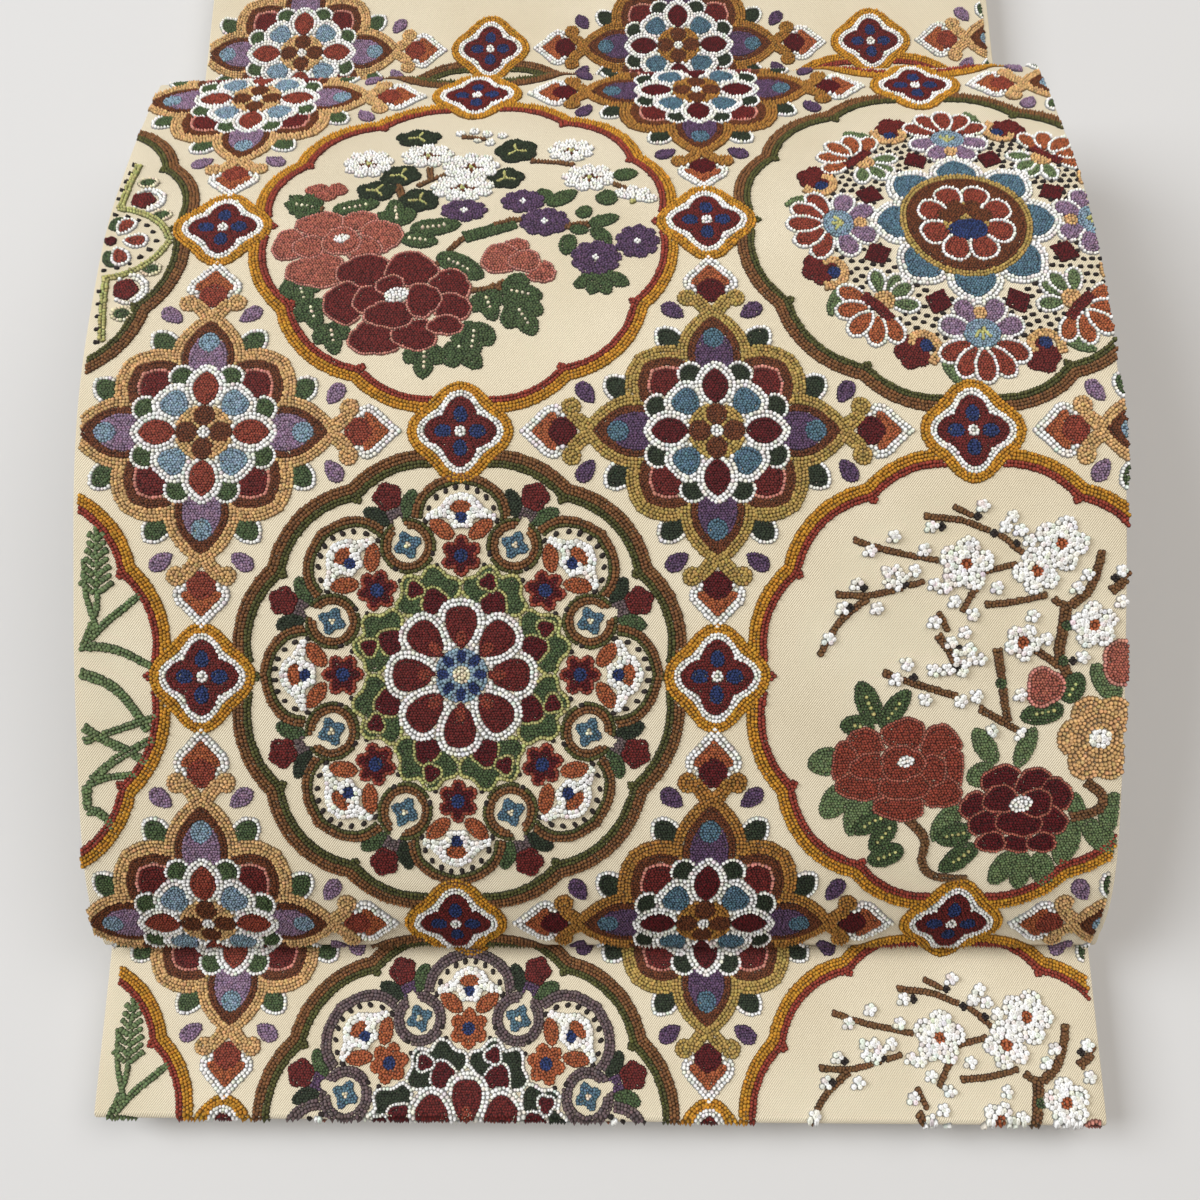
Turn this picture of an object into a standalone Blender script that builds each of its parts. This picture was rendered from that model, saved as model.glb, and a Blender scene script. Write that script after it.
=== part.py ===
"""Woven obi sash, folded for show: end flap in front, puffed drum on top, rest in a flat stack.

One long double cloth, a figured face sewn to a plain lining, is followed from its front fold to
its rear fold. Every stretch of it is a pair of walls laid through the same folds.
Metres, +Z up. The front fold is towards -Y, and the origin is under the middle of the footprint.
"""

import math

import bmesh
import bpy
from mathutils import Vector

# Driving dimensions
OBI_WIDTH = 0.310
FACE_WALL = 0.0012
LINING_WALL = 0.0010
SEAM_GAP = 0.0003  # between the face and the lining, and between layers that lie on each other
LINING_INSET = 0.0015  # the lining is sewn in this far from each edge of the face
FLAP_SHOWN = 0.053  # front fold to the drum's lower fold
FLAP_HIDDEN = 0.073  # how far the flap runs in under the drum before it turns back
REAR_FOLD = 0.405  # rear fold, measured from the drum's lower fold
DRUM_TURN = 0.200  # where the drum's cloth turns into the upper stretch
FLAP_JOIN = 0.040  # where the flap's stretch ends and the drum's begins
UPPER_JOIN = 0.232  # where the drum's stretch ends and the upper one begins
LOWER_LEG_JOIN = 0.220  # where the two lower legs meet on the stack
STACK_LAYERS = 7
LAYER_PITCH = 0.0014
STACK_INSET = 0.004  # the stack's ends lie this far inside the outer folds
STACK_SIDE_INSET = 0.0022
TOP_SKEW = 0.008  # the drum's top fold lies this much further back on the right than on the left
HEM_SKEW = 0.0024  # the front fold comes this much further forward on the right

# Derived heights
FACE_OFFSET = FACE_WALL + SEAM_GAP / 2
LINING_OFFSET = LINING_WALL + SEAM_GAP / 2
STACK_TOP = STACK_LAYERS * LAYER_PITCH
DOUBLE_CLOTH = FACE_WALL + SEAM_GAP + LINING_WALL
FOLD_RADIUS = FACE_OFFSET + LINING_OFFSET + SEAM_GAP / 2  # of the face, round a fold over the lining
BASE = STACK_TOP + SEAM_GAP + 2 * FOLD_RADIUS  # height of the flap's face

COLUMNS_ACROSS = 4
LONGEST_STEP = 0.022
STEEPEST_STEP = math.radians(16)

# The drum's face, fold by fold: how far back from the lower fold, how high above the flap, and
# which way the cloth heads there, in degrees above level (180 runs forward, -180 too).
DRUM_FOLDS = (
    ("fold_under", 0.0040, 0.0003, 180),
    ("fold_nose", -0.0008, 0.0044, 90),
    ("fold_lip", 0.0026, 0.0102, 60),
    ("front_shoulder", 0.0166, 0.0250, 35),
    ("front_slope", 0.0410, 0.0373, 21),
    ("belly", 0.0900, 0.0550, 17.5),
    ("crown_front", 0.1270, 0.0656, 13.5),
    ("crown", 0.1600, 0.0703, 1.5),
    ("back_shoulder", 0.2050, 0.0687, -6),
    ("back_slope", 0.2400, 0.0610, -18.5),
    ("top_slope", 0.2750, 0.0486, -21),
    ("top_lip", 0.2900, 0.0426, -26),
    ("top_edge", 0.2966, 0.0388, -50),
    ("top_nose", 0.3010, 0.0278, -90),
    ("top_under", 0.2830, 0.0095, -177),
)


def clear_scene():
    for item in list(bpy.data.objects):
        bpy.data.objects.remove(item, do_unlink=True)


def fabric(name, colour, roughness):
    material = bpy.data.materials.new(name)
    material.use_nodes = True
    shader = material.node_tree.nodes["Principled BSDF"]
    shader.inputs["Base Color"].default_value = (*colour, 1.0)
    shader.inputs["Roughness"].default_value = roughness
    shader.inputs["Metallic"].default_value = 0.0
    material.diffuse_color = (*colour, 1.0)
    return material


def direction(heading):
    return Vector((math.cos(math.radians(heading)), math.sin(math.radians(heading))))


def face_side(heading):
    """The unit vector from the cloth's middle to its face, on the left of its heading."""
    return Vector((-math.sin(math.radians(heading)), math.cos(math.radians(heading))))


def turn_back(forward, rise, radius, heading, bend):
    """Three sections of a fold: the cloth comes in at heading and turns through 180 degrees.

    forward and rise give the face where the turn starts, and bend is +1 for a turn to the left,
    with the face inside, or -1 for one to the right, with the lining inside."""
    centre = Vector((forward, rise)) + bend * radius * face_side(heading)
    rows = []
    for quarter in range(3):
        now = heading + bend * 90 * quarter
        point = centre - bend * radius * face_side(now)
        rows.append((point.x, point.y, now))
    return rows


def flap_sections():
    """Lower leg on the stack, front fold, the flap itself, and its turn back under the drum."""
    front = -FLAP_SHOWN + FOLD_RADIUS
    rows = [(LOWER_LEG_JOIN - 2 * SEAM_GAP, -2 * FOLD_RADIUS, 180)]
    rows += turn_back(front, -2 * FOLD_RADIUS, FOLD_RADIUS, 180, -1)
    rows += turn_back(FLAP_HIDDEN, 0.0, SEAM_GAP / 2, 0, 1)
    rows.append((FLAP_JOIN + SEAM_GAP / 2, SEAM_GAP, 180))
    return rows


def drum_sections():
    """Back over the flap, round the lower fold, over the drum, and in under its top fold."""
    rows = [(FLAP_JOIN - SEAM_GAP / 2, SEAM_GAP, 180)]
    rows += [(forward, rise, heading) for _, forward, rise, heading in DRUM_FOLDS]
    rows.append((UPPER_JOIN + SEAM_GAP / 2, 0.0037, -174))
    return rows


def upper_sections():
    """The drum's cloth turned back, the upper stretch, its rear fold, and its lower leg."""
    rows = [(UPPER_JOIN - SEAM_GAP / 2, 0.0037, -174)]
    rows += turn_back(DRUM_TURN, SEAM_GAP, SEAM_GAP / 2, -180, 1)
    rows += turn_back(REAR_FOLD - FOLD_RADIUS, 0.0, FOLD_RADIUS, 0, -1)
    rows.append((LOWER_LEG_JOIN + 2 * SEAM_GAP, -2 * FOLD_RADIUS, -180))
    return rows


def middle_line(sections):
    """Smooth stations along the middle of the double cloth: (point, heading in degrees).

    Between two sections the line is a Bezier span whose handles make an even bend an arc."""
    knots = []
    for forward, rise, heading in sections:
        face_point = Vector((forward, BASE + rise))
        knots.append((face_point - FACE_OFFSET * face_side(heading), heading))
    stations = [knots[0]]
    for (start, start_heading), (end, end_heading) in zip(knots, knots[1:]):
        chord = (end - start).length
        turn = math.radians(end_heading - start_heading)
        if abs(turn) < 1e-6:
            handle = chord / 3
        else:
            handle = chord * (4 / 3) * math.tan(abs(turn) / 4) / (2 * math.sin(abs(turn) / 2))
        points = (
            start,
            start + handle * direction(start_heading),
            end - handle * direction(end_heading),
            end,
        )
        steps = max(1, round(chord / LONGEST_STEP), math.ceil(abs(turn) / STEEPEST_STEP))
        for step in range(1, steps + 1):
            t = step / steps
            stations.append((bezier(points, t), bezier_heading(points, t)))
    return stations


def bezier(points, t):
    a, b, c, d = points
    s = 1 - t
    return s**3 * a + 3 * s * s * t * b + 3 * s * t * t * c + t**3 * d


def bezier_heading(points, t):
    a, b, c, d = points
    s = 1 - t
    slope = s * s * (b - a) + 2 * s * t * (c - b) + t * t * (d - c)
    return math.degrees(math.atan2(slope.y, slope.x))


def smooth_step(value):
    value = min(1.0, max(0.0, value))
    return value * value * (3 - 2 * value)


def skew(x, y):
    """How far a point lies back because the folds aren't quite square to the side edges."""
    behind = TOP_SKEW * smooth_step((y - 0.110) / 0.180)
    in_front = -HEM_SKEW * smooth_step(-y / FLAP_SHOWN)
    return (behind + in_front) * x / OBI_WIDTH


def cloth_wall(name, sections, width, inner, wall, material, collection):
    """One wall of the cloth: a grid laid along the stations, thickened with Solidify.

    inner is how far the grid lies from the middle of the cloth, towards the face when positive."""
    stations = middle_line(sections)
    mesh = bpy.data.meshes.new(name)
    grid = bmesh.new()
    bmesh.ops.create_grid(grid, x_segments=COLUMNS_ACROSS, y_segments=len(stations) - 1, size=1.0)
    for vert in grid.verts:
        side = vert.co.x / 2  # -0.5 at the left edge and 0.5 at the right
        point, heading = stations[round((vert.co.y + 1) / 2 * (len(stations) - 1))]
        place = point + inner * face_side(heading)
        x = side * width
        vert.co = (x, place.x + skew(x, place.x), place.y)
    grid.to_mesh(mesh)
    grid.free()
    mesh.materials.append(material)
    mesh.shade_smooth()
    mesh.set_sharp_from_angle(angle=math.radians(40))
    wall_object = bpy.data.objects.new(name, mesh)
    collection.objects.link(wall_object)
    thicken = wall_object.modifiers.new("cloth thickness", "SOLIDIFY")
    thicken.thickness = wall
    thicken.offset = 1.0 if inner > 0 else -1.0
    thicken.use_even_offset = False
    return wall_object


def double_cloth(name, sections, face_material, lining_material, collection):
    """The face and the lining of one stretch."""
    gap = SEAM_GAP / 2
    inside = OBI_WIDTH - 2 * LINING_INSET
    face_name, lining_name = name + "_face", name + "_lining"
    return [
        cloth_wall(face_name, sections, OBI_WIDTH, gap, FACE_WALL, face_material, collection),
        cloth_wall(lining_name, sections, inside, -gap, LINING_WALL, lining_material, collection),
    ]


def stack_ring(grid, half_width, front, back, height, corner=0.004, corner_steps=3):
    """A level ring with round corners, as new vertices in order."""
    ring = []
    centres = (
        (half_width - corner, back - corner, 0),
        (-half_width + corner, back - corner, 90),
        (-half_width + corner, front + corner, 180),
        (half_width - corner, front + corner, 270),
    )
    for x, y, start in centres:
        for step in range(corner_steps + 1):
            angle = math.radians(start + 90 * step / corner_steps)
            ring_x = x + corner * math.cos(angle)
            ring_y = y + corner * math.sin(angle)
            ring.append(grid.verts.new((ring_x, ring_y + skew(ring_x, ring_y), height)))
    return ring


def folded_layers(material, collection):
    """The rest of the sash, folded to and fro: one rounded solid, grooved between its layers."""
    groove = 0.0011
    grid = bmesh.new()
    rings = []
    for layer in range(STACK_LAYERS):
        uneven = 0.0007 * math.sin(2.4 * layer)  # no two layers end at quite the same place
        floor = layer * LAYER_PITCH
        lowest = layer == 0
        highest = layer == STACK_LAYERS - 1
        levels = (
            (0.0, 0.0004 if lowest else groove),
            (0.28, 0.0),
            (0.72, 0.0),
        )
        for part, inset in levels:
            rings.append((floor + part * LAYER_PITCH, inset + uneven))
        if highest:
            rings.append((STACK_TOP, 0.0004 + uneven))
    loops = []
    for height, inset in rings:
        loops.append(
            stack_ring(
                grid,
                OBI_WIDTH / 2 - STACK_SIDE_INSET - inset,
                -FLAP_SHOWN + STACK_INSET + inset,
                REAR_FOLD - STACK_INSET - inset,
                height,
            )
        )
    for lower, upper in zip(loops, loops[1:]):
        for index in range(len(lower)):
            after = (index + 1) % len(lower)
            grid.faces.new((lower[index], lower[after], upper[after], upper[index]))
    grid.faces.new(list(reversed(loops[0])))
    grid.faces.new(loops[-1])
    mesh = bpy.data.meshes.new("folded_layers")
    grid.to_mesh(mesh)
    grid.free()
    mesh.materials.append(material)
    stack = bpy.data.objects.new("folded_layers", mesh)
    collection.objects.link(stack)
    return stack


def centre_on_footprint(pieces):
    """Moves every piece so that the origin is under the middle of the whole footprint."""
    bpy.context.view_layer.update()
    depsgraph = bpy.context.evaluated_depsgraph_get()
    low, high = Vector((1e9, 1e9)), Vector((-1e9, -1e9))
    for piece in pieces:
        for corner in piece.evaluated_get(depsgraph).bound_box:
            low = Vector((min(low.x, corner[0]), min(low.y, corner[1])))
            high = Vector((max(high.x, corner[0]), max(high.y, corner[1])))
    middle = (low + high) / 2
    for piece in pieces:
        piece.location = (-middle.x, -middle.y, 0.0)


def build():
    clear_scene()
    collection = bpy.data.collections.new("obi sash")
    bpy.context.scene.collection.children.link(collection)
    face_material = fabric("figured face", (0.66, 0.54, 0.38), 0.62)
    lining_material = fabric("plain lining", (0.72, 0.63, 0.48), 0.55)
    layer_material = fabric("folded layers", (0.70, 0.59, 0.43), 0.60)
    pieces = []
    for name, sections in (
        ("flap", flap_sections()),
        ("drum", drum_sections()),
        ("upper", upper_sections()),
    ):
        pieces += double_cloth(name, sections, face_material, lining_material, collection)
    pieces.append(folded_layers(layer_material, collection))
    centre_on_footprint(pieces)


build()
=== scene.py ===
"""A woven obi sash, folded for show and covered in raised knots of coloured silk thread.

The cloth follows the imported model's folds. Its face is a cream twill, and every motif on it is
made of knots, one small dome each, laid in rows that follow the motif's outline.
"""

import math

import bpy
import numpy as np
from bpy.props import FloatProperty, FloatVectorProperty, PointerProperty
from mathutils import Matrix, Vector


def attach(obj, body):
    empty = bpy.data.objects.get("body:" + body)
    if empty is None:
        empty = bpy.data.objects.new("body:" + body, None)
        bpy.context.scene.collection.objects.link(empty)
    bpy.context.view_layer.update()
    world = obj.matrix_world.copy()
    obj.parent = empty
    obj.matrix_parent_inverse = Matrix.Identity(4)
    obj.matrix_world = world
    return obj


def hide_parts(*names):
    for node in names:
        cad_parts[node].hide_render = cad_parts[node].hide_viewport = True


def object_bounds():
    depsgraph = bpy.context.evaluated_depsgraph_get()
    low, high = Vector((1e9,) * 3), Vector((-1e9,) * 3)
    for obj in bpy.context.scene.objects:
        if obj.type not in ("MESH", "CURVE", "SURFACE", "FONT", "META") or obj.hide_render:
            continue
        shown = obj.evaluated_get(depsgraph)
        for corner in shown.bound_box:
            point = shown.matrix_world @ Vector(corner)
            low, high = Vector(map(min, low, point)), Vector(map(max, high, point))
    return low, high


bl_info = {
    "name": "Folded obi sash",
    "version": (1, 0, 0),
    "blender": (4, 5, 0),
    "location": "View3D > Sidebar > Obi",
    "description": "A folded obi sash with a puffed drum, in silk twill with raised knots",
    "category": "Add Mesh",
}

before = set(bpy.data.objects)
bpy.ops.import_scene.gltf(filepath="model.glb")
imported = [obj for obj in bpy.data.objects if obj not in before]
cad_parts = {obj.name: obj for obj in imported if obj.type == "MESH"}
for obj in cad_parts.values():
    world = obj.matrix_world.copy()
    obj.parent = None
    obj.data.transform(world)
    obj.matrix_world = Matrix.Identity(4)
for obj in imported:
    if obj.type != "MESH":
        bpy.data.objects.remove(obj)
CAD_BOX = [[float(value) for value in corner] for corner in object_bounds()]

MM = 0.001

# The sash's folds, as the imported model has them. Metres from the drum's lower fold.
OBI_WIDTH = 0.310
FACE_WALL = 0.0012
LINING_WALL = 0.0010
SEAM_GAP = 0.0003
FLAP_SHOWN = 0.053
FLAP_HIDDEN = 0.073
REAR_FOLD = 0.405
DRUM_TURN = 0.200
FLAP_JOIN = 0.040
UPPER_JOIN = 0.232
LOWER_LEG_JOIN = 0.220
STACK_LAYERS = 7
LAYER_PITCH = 0.0014
TOP_SKEW = 0.008  # how much further back the drum's top lies at the right than at the left
HEM_SKEW = 0.0024  # and how much further forward the flap's front fold does
SKEW_START = 0.110
SKEW_REACH = 0.180
FACE_OFFSET = FACE_WALL + SEAM_GAP / 2
LINING_OFFSET = LINING_WALL + SEAM_GAP / 2
STACK_TOP = STACK_LAYERS * LAYER_PITCH
FOLD_RADIUS = FACE_OFFSET + LINING_OFFSET + SEAM_GAP / 2
BASE = STACK_TOP + SEAM_GAP + 2 * FOLD_RADIUS
FOOTPRINT_MIDDLE = -FLAP_SHOWN - HEM_SKEW / 2 - CAD_BOX[0][1]

CREASE_END = 0.006  # the cloth is taut up to here, and slackens over the next stretch
CREASE_FADE = 0.03
WAVES_ABOVE = 0.004  # lower down it is pressed flat
SPAN_STEPS = 24  # points on the curve between two sections of a fold

# The drum's sections from its front fold to its rear: name, forward, rise and heading in degrees
DRUM_FOLDS = (
    ("fold_under", 0.0040, 0.0003, 180),
    ("fold_nose", -0.0008, 0.0044, 90),
    ("fold_lip", 0.0026, 0.0102, 60),
    ("front_shoulder", 0.0166, 0.0250, 35),
    ("front_slope", 0.0410, 0.0373, 21),
    ("belly", 0.0900, 0.0550, 17.5),
    ("crown_front", 0.1270, 0.0656, 13.5),
    ("crown", 0.1600, 0.0703, 1.5),
    ("back_shoulder", 0.2050, 0.0687, -6),
    ("back_slope", 0.2400, 0.0610, -18.5),
    ("top_slope", 0.2750, 0.0486, -21),
    ("top_lip", 0.2900, 0.0426, -26),
    ("top_edge", 0.2966, 0.0388, -50),
    ("top_nose", 0.3010, 0.0278, -90),
    ("top_under", 0.2830, 0.0095, -177),
)

# The cloth that shows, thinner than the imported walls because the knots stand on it
TWILL_TOP = 0.00075  # the twill's surface, from the middle of the double cloth
TWILL_UNDER = 0.00010
LINING_TOP = -0.00010
LINING_UNDER = -0.00065

# Thread colours, as they look in daylight
THREADS = {
    "white": (247, 245, 238),
    "gold": (190, 134, 40),
    "brick": (142, 58, 44),
    "bronze": (122, 82, 48),
    "olive": (80, 80, 40),
    "tan": (204, 164, 112),
    "old gold": (172, 144, 80),
    "amber": (160, 112, 50),
    "maroon": (104, 32, 30),
    "wine": (88, 16, 22),
    "rust": (140, 62, 46),
    "orange": (166, 90, 54),
    "pink": (168, 96, 80),
    "petal line": (196, 130, 116),
    "navy": (40, 56, 104),
    "steel": (86, 116, 134),
    "sky": (134, 158, 176),
    "plum": (92, 68, 98),
    "lilac": (142, 116, 142),
    "leaf": (74, 92, 58),
    "dark leaf": (44, 54, 38),
    "sage": (104, 122, 82),
    "lime": (176, 174, 112),
    "bark": (112, 78, 48),
    "umber": (104, 56, 30),
    "black": (44, 36, 34),
    "smoke": (104, 88, 90),
    "peach": (206, 164, 112),
    "cream": (226, 214, 184),
}
THREAD_NAMES = tuple(THREADS)
BARE = "bare"  # a patch that keeps other knots away and has none of its own

# The figured design's lattice, in millimetres of cloth
WIDTH_MM = 310
SIDE_MARGIN = 0.5  # no knot's middle lies nearer to a side edge
COLUMN = 75.9
FIRST_COLUMN = 36.6
ROW = 72.4


def linear(colour):
    """Linear values of a colour that is given from 0 to 255."""
    part = np.asarray(colour, dtype=float) / 255
    return np.where(part <= 0.04045, part / 12.92, ((part + 0.055) / 1.055) ** 2.4)


# ---------------------------------------------------------------- settings


class ObiClothSettings(bpy.types.PropertyGroup):
    """The silk cloth."""

    ground: FloatVectorProperty(
        name="Ground", description="Colour of the cream twill",
        subtype="COLOR", size=3, min=0.0, max=1.0, default=tuple(linear((246, 234, 207))),
    )
    lining: FloatVectorProperty(
        name="Lining", description="Colour of the plain silk behind the face",
        subtype="COLOR", size=3, min=0.0, max=1.0, default=tuple(linear((232, 216, 184))),
    )
    twill_pitch: FloatProperty(
        name="Twill pitch", description="Distance between two ribs of the twill",
        unit="LENGTH", default=0.00058, min=0.0002, max=0.003,
    )
    undulation: FloatProperty(
        name="Undulation", description="How far the cloth rises and sinks between its folds",
        unit="LENGTH", default=0.00035, min=0.0, max=0.002,
    )


class ObiKnotSettings(bpy.types.PropertyGroup):
    """The knots of thread."""

    height: FloatProperty(
        name="Knot height", description="How far a knot stands above the twill",
        unit="LENGTH", default=0.00115, min=0.0001, max=0.002,
    )
    unevenness: FloatProperty(
        name="Unevenness", description="How much the knots differ in size and shade",
        subtype="FACTOR", default=0.16, min=0.0, max=0.5,
    )


class ObiStageSettings(bpy.types.PropertyGroup):
    """The table, the lamps and the camera."""

    table: FloatVectorProperty(
        name="Table", description="Colour of the pale table",
        subtype="COLOR", size=3, min=0.0, max=1.0, default=tuple(linear((211, 211, 212))),
    )
    window: FloatProperty(
        name="Window light", description="Strength of the large soft lamp on the left",
        default=88.0, min=0.0, max=500.0,
    )
    room: FloatProperty(
        name="Room light", description="Strength of the light from all round",
        default=0.29, min=0.0, max=5.0,
    )
    camera_height: FloatProperty(
        name="Camera height", description="Height of the camera above the flap",
        unit="LENGTH", default=0.396, min=0.1, max=3.0,
    )
    camera_tilt: FloatProperty(
        name="Camera tilt", description="How far the camera leans back from looking straight down",
        subtype="ANGLE", default=math.radians(16), min=0.0, max=1.5,
    )


# ---------------------------------------------------------------- the folds


def direction(heading):
    return np.array([math.cos(math.radians(heading)), math.sin(math.radians(heading))])


def face_side(heading):
    return np.array([-math.sin(math.radians(heading)), math.cos(math.radians(heading))])


def turn_back(forward, rise, radius, heading, bend):
    """Three sections of a fold that turns through 180 degrees, to the left when bend is 1."""
    centre = np.array([forward, rise]) + bend * radius * face_side(heading)
    rows = []
    for quarter in range(3):
        now = heading + bend * 90 * quarter
        point = centre - bend * radius * face_side(now)
        rows.append((point[0], point[1], now))
    return rows


def flap_sections():
    front = -FLAP_SHOWN + FOLD_RADIUS
    rows = [(LOWER_LEG_JOIN - 2 * SEAM_GAP, -2 * FOLD_RADIUS, 180)]
    rows += turn_back(front, -2 * FOLD_RADIUS, FOLD_RADIUS, 180, -1)
    rows += turn_back(FLAP_HIDDEN, 0.0, SEAM_GAP / 2, 0, 1)
    rows.append((FLAP_JOIN + SEAM_GAP / 2, SEAM_GAP, 180))
    return rows


def drum_sections():
    rows = [(FLAP_JOIN - SEAM_GAP / 2, SEAM_GAP, 180)]
    rows += [(forward, rise, heading) for _, forward, rise, heading in DRUM_FOLDS]
    rows.append((UPPER_JOIN + SEAM_GAP / 2, 0.0037, -174))
    return rows


def upper_sections():
    rows = [(UPPER_JOIN - SEAM_GAP / 2, 0.0037, -174)]
    rows += turn_back(DRUM_TURN, SEAM_GAP, SEAM_GAP / 2, -180, 1)
    rows += turn_back(REAR_FOLD - FOLD_RADIUS, 0.0, FOLD_RADIUS, 0, -1)
    rows.append((LOWER_LEG_JOIN + 2 * SEAM_GAP, -2 * FOLD_RADIUS, -180))
    return rows


def skew(x, y):
    """How far a point lies back because the folds aren't quite square to the side edges."""
    behind = np.clip((y - SKEW_START) / SKEW_REACH, 0, 1)
    in_front = np.clip(-y / FLAP_SHOWN, 0, 1)
    back = TOP_SKEW * behind**2 * (3 - 2 * behind) - HEM_SKEW * in_front**2 * (3 - 2 * in_front)
    return back * x / OBI_WIDTH


class Stretch:
    """The middle line of one stretch of the double cloth, and places on and off it."""

    def __init__(self, sections, from_face=FACE_OFFSET, base=BASE, wavy=True):
        knots = []
        for forward, rise, heading in sections:
            place = np.array([forward, base + rise]) - from_face * face_side(heading)
            knots.append((place, heading))
        points, headings = [knots[0][0]], [knots[0][1]]
        for (start, first), (end, last) in zip(knots, knots[1:]):
            chord = float(np.linalg.norm(end - start))
            turn = math.radians(last - first)
            handle = chord / 3
            if abs(turn) > 1e-6:
                handle = chord * (4 / 3) * math.tan(abs(turn) / 4) / (2 * math.sin(abs(turn) / 2))
            a, b, c, d = start, start + handle * direction(first), end - handle * direction(last), end
            for step in range(1, SPAN_STEPS + 1):
                t = step / SPAN_STEPS
                s = 1 - t
                points.append(s**3 * a + 3 * s * s * t * b + 3 * s * t * t * c + t**3 * d)
                slope = s * s * (b - a) + 2 * s * t * (c - b) + t * t * (d - c)
                headings.append(math.degrees(math.atan2(slope[1], slope[0])))
        self.points = np.array(points)
        self.heading = np.unwrap(np.radians(headings))
        steps = np.linalg.norm(np.diff(self.points, axis=0), axis=1)
        self.along = np.concatenate([[0.0], np.cumsum(steps)])
        self.length = float(self.along[-1])
        self.wavy = wavy

    def where(self, y, face_up=True):
        """The distance along the cloth at which it is y back from the drum's lower fold."""
        up = np.cos(self.heading) > 0.05
        wanted = np.flatnonzero(up if face_up else ~up)
        nearest = wanted[np.argmin(np.abs(self.points[wanted, 0] - y))]
        return self.along[nearest] + (y - self.points[nearest, 0]) / math.cos(self.heading[nearest])

    def place(self, x, along, lift):
        """World positions of points x across, along the cloth, and lift above its middle."""
        y = np.interp(along, self.along, self.points[:, 0])
        z = np.interp(along, self.along, self.points[:, 1])
        heading = np.interp(along, self.along, self.heading)
        if self.wavy:
            settled = np.clip((y - CREASE_END) / CREASE_FADE, 0, 1) * (z > BASE + WAVES_ABOVE)
            lift = lift + undulation(x, along) * settled
        y = y - lift * np.sin(heading)
        z = z + lift * np.cos(heading)
        y = y + skew(x, y)
        return np.stack([x + 0 * y, y - FOOTPRINT_MIDDLE, z], axis=-1)


def undulation(x, along):
    """The slight rise and fall of cloth that has been folded and handled."""
    total = 0
    for share, across, down, phase in (
        (0.50, 61, 23, 0.3), (0.35, -37, 58, 1.9), (0.30, 118, -71, 4.1), (0.22, 93, 141, 2.7),
    ):
        total = total + share * np.sin(across * x + down * along + phase)
    return bpy.context.scene.obi_cloth.undulation * total


STRETCHES = {
    "flap": Stretch(flap_sections()),
    "drum": Stretch(drum_sections()),
    "upper": Stretch(upper_sections()),
}


# ---------------------------------------------------------------- outlines

TURN = np.linspace(0, 2 * math.pi, 60, endpoint=False)

# Distances between two knots, in millimetres
FINE = 0.90
REGULAR = 1.06
BOLD = 1.45

ALL = 40  # more rows than any patch has room for
OUTLINE_STEP = 0.4  # between the points that a patch's edge is measured by
EDGE_SLACK = 0.16  # how much nearer to the edge than its middle a row may run
KNOT_ROOM = 0.80  # share of its pitch that a knot in a row has to be away from others
GAP_ROOM = 0.68  # the same for a knot that closes a gap


def towards(degrees):
    """A unit step in the plane of the cloth: 0 is to the right and 90 is up the sash."""
    return np.exp(1j * math.radians(degrees))


def disc(radius, at=0, flat=1.0):
    return at + radius * (np.cos(TURN) + 1j * flat * np.sin(TURN))


def lobed(radius, depth, count, power=1.0, turned=0.0):
    """A circle with count lobes that bulge by depth, with a cusp between two lobes."""
    bulge = np.abs(np.cos(count * (TURN - math.radians(turned)) / 2)) ** power
    return (radius + depth * bulge) * np.exp(1j * TURN)


def four_lobes(radius, depth):
    return (radius + depth * np.cos(4 * TURN)) * np.exp(1j * TURN)


def petal(at, heading, length, width, tip=1.0, root=1.0, widest=0.5):
    """A petal or a leaf from its root; tip and root over 1 are pointed, and under 1 blunt."""
    back = np.cos(TURN)
    along = ((1 - back) / 2) ** (math.log(widest) / math.log(0.5))
    power = np.where(back > 0, root, tip)
    across = np.sign(np.sin(TURN)) * np.abs(np.sin(TURN)) ** power
    return at + (length * along + 0.5j * width * across) * towards(heading)


def smooth(points, closed=False, steps=8):
    """A smooth curve through a few points."""
    points = np.asarray(points, dtype=complex)
    count = len(points)
    spans = count if closed else count - 1
    result = []
    for index in range(spans):
        if closed:
            a, b, c, d = (points[(index + k) % count] for k in (-1, 0, 1, 2))
        else:
            b, c = points[index], points[index + 1]
            a = points[index - 1] if index else 2 * b - c
            d = points[index + 2] if index + 2 < count else 2 * c - b
        for step in range(steps):
            t = step / steps
            result.append(
                0.5 * (2 * b + (c - a) * t + (2 * a - 5 * b + 4 * c - d) * t**2
                       + (3 * b - a - 3 * c + d) * t**3)
            )
    if not closed:
        result.append(points[-1])
    return np.array(result)


def mirrored(points):
    """A closed outline from its upper half, given from left to right."""
    half = np.array(points, complex)
    return np.concatenate([half, np.conj(half[::-1])])


def half_outline(*points, steps=8):
    """A smooth closed outline from a few points of its upper half."""
    return smooth(mirrored(points), closed=True, steps=steps)


def stroke(points, wide, end=None):
    """The outline of a stem or scroll that is wide at its start and end wide at its end."""
    line = smooth(points)
    end = wide if end is None else end
    step = np.gradient(line)
    side = 1j * step / np.abs(step)
    half = np.linspace(wide, end, len(line)) / 2
    return np.concatenate([line + side * half, (line - side * half)[::-1]])


def distances(line):
    """How far along a line each of its points is."""
    return np.concatenate([[0.0], np.cumsum(np.abs(np.diff(line)))])


def points_at(line, along, at):
    return np.interp(at, along, line.real) + 1j * np.interp(at, along, line.imag)


def even(path, step, closed=True):
    """Points at even steps along a path."""
    line = np.append(path, path[:1]) if closed else path
    along = distances(line)
    count = max(6, round(along[-1] / step))
    return points_at(line, along, np.linspace(0.0, along[-1], count, endpoint=not closed))


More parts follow.
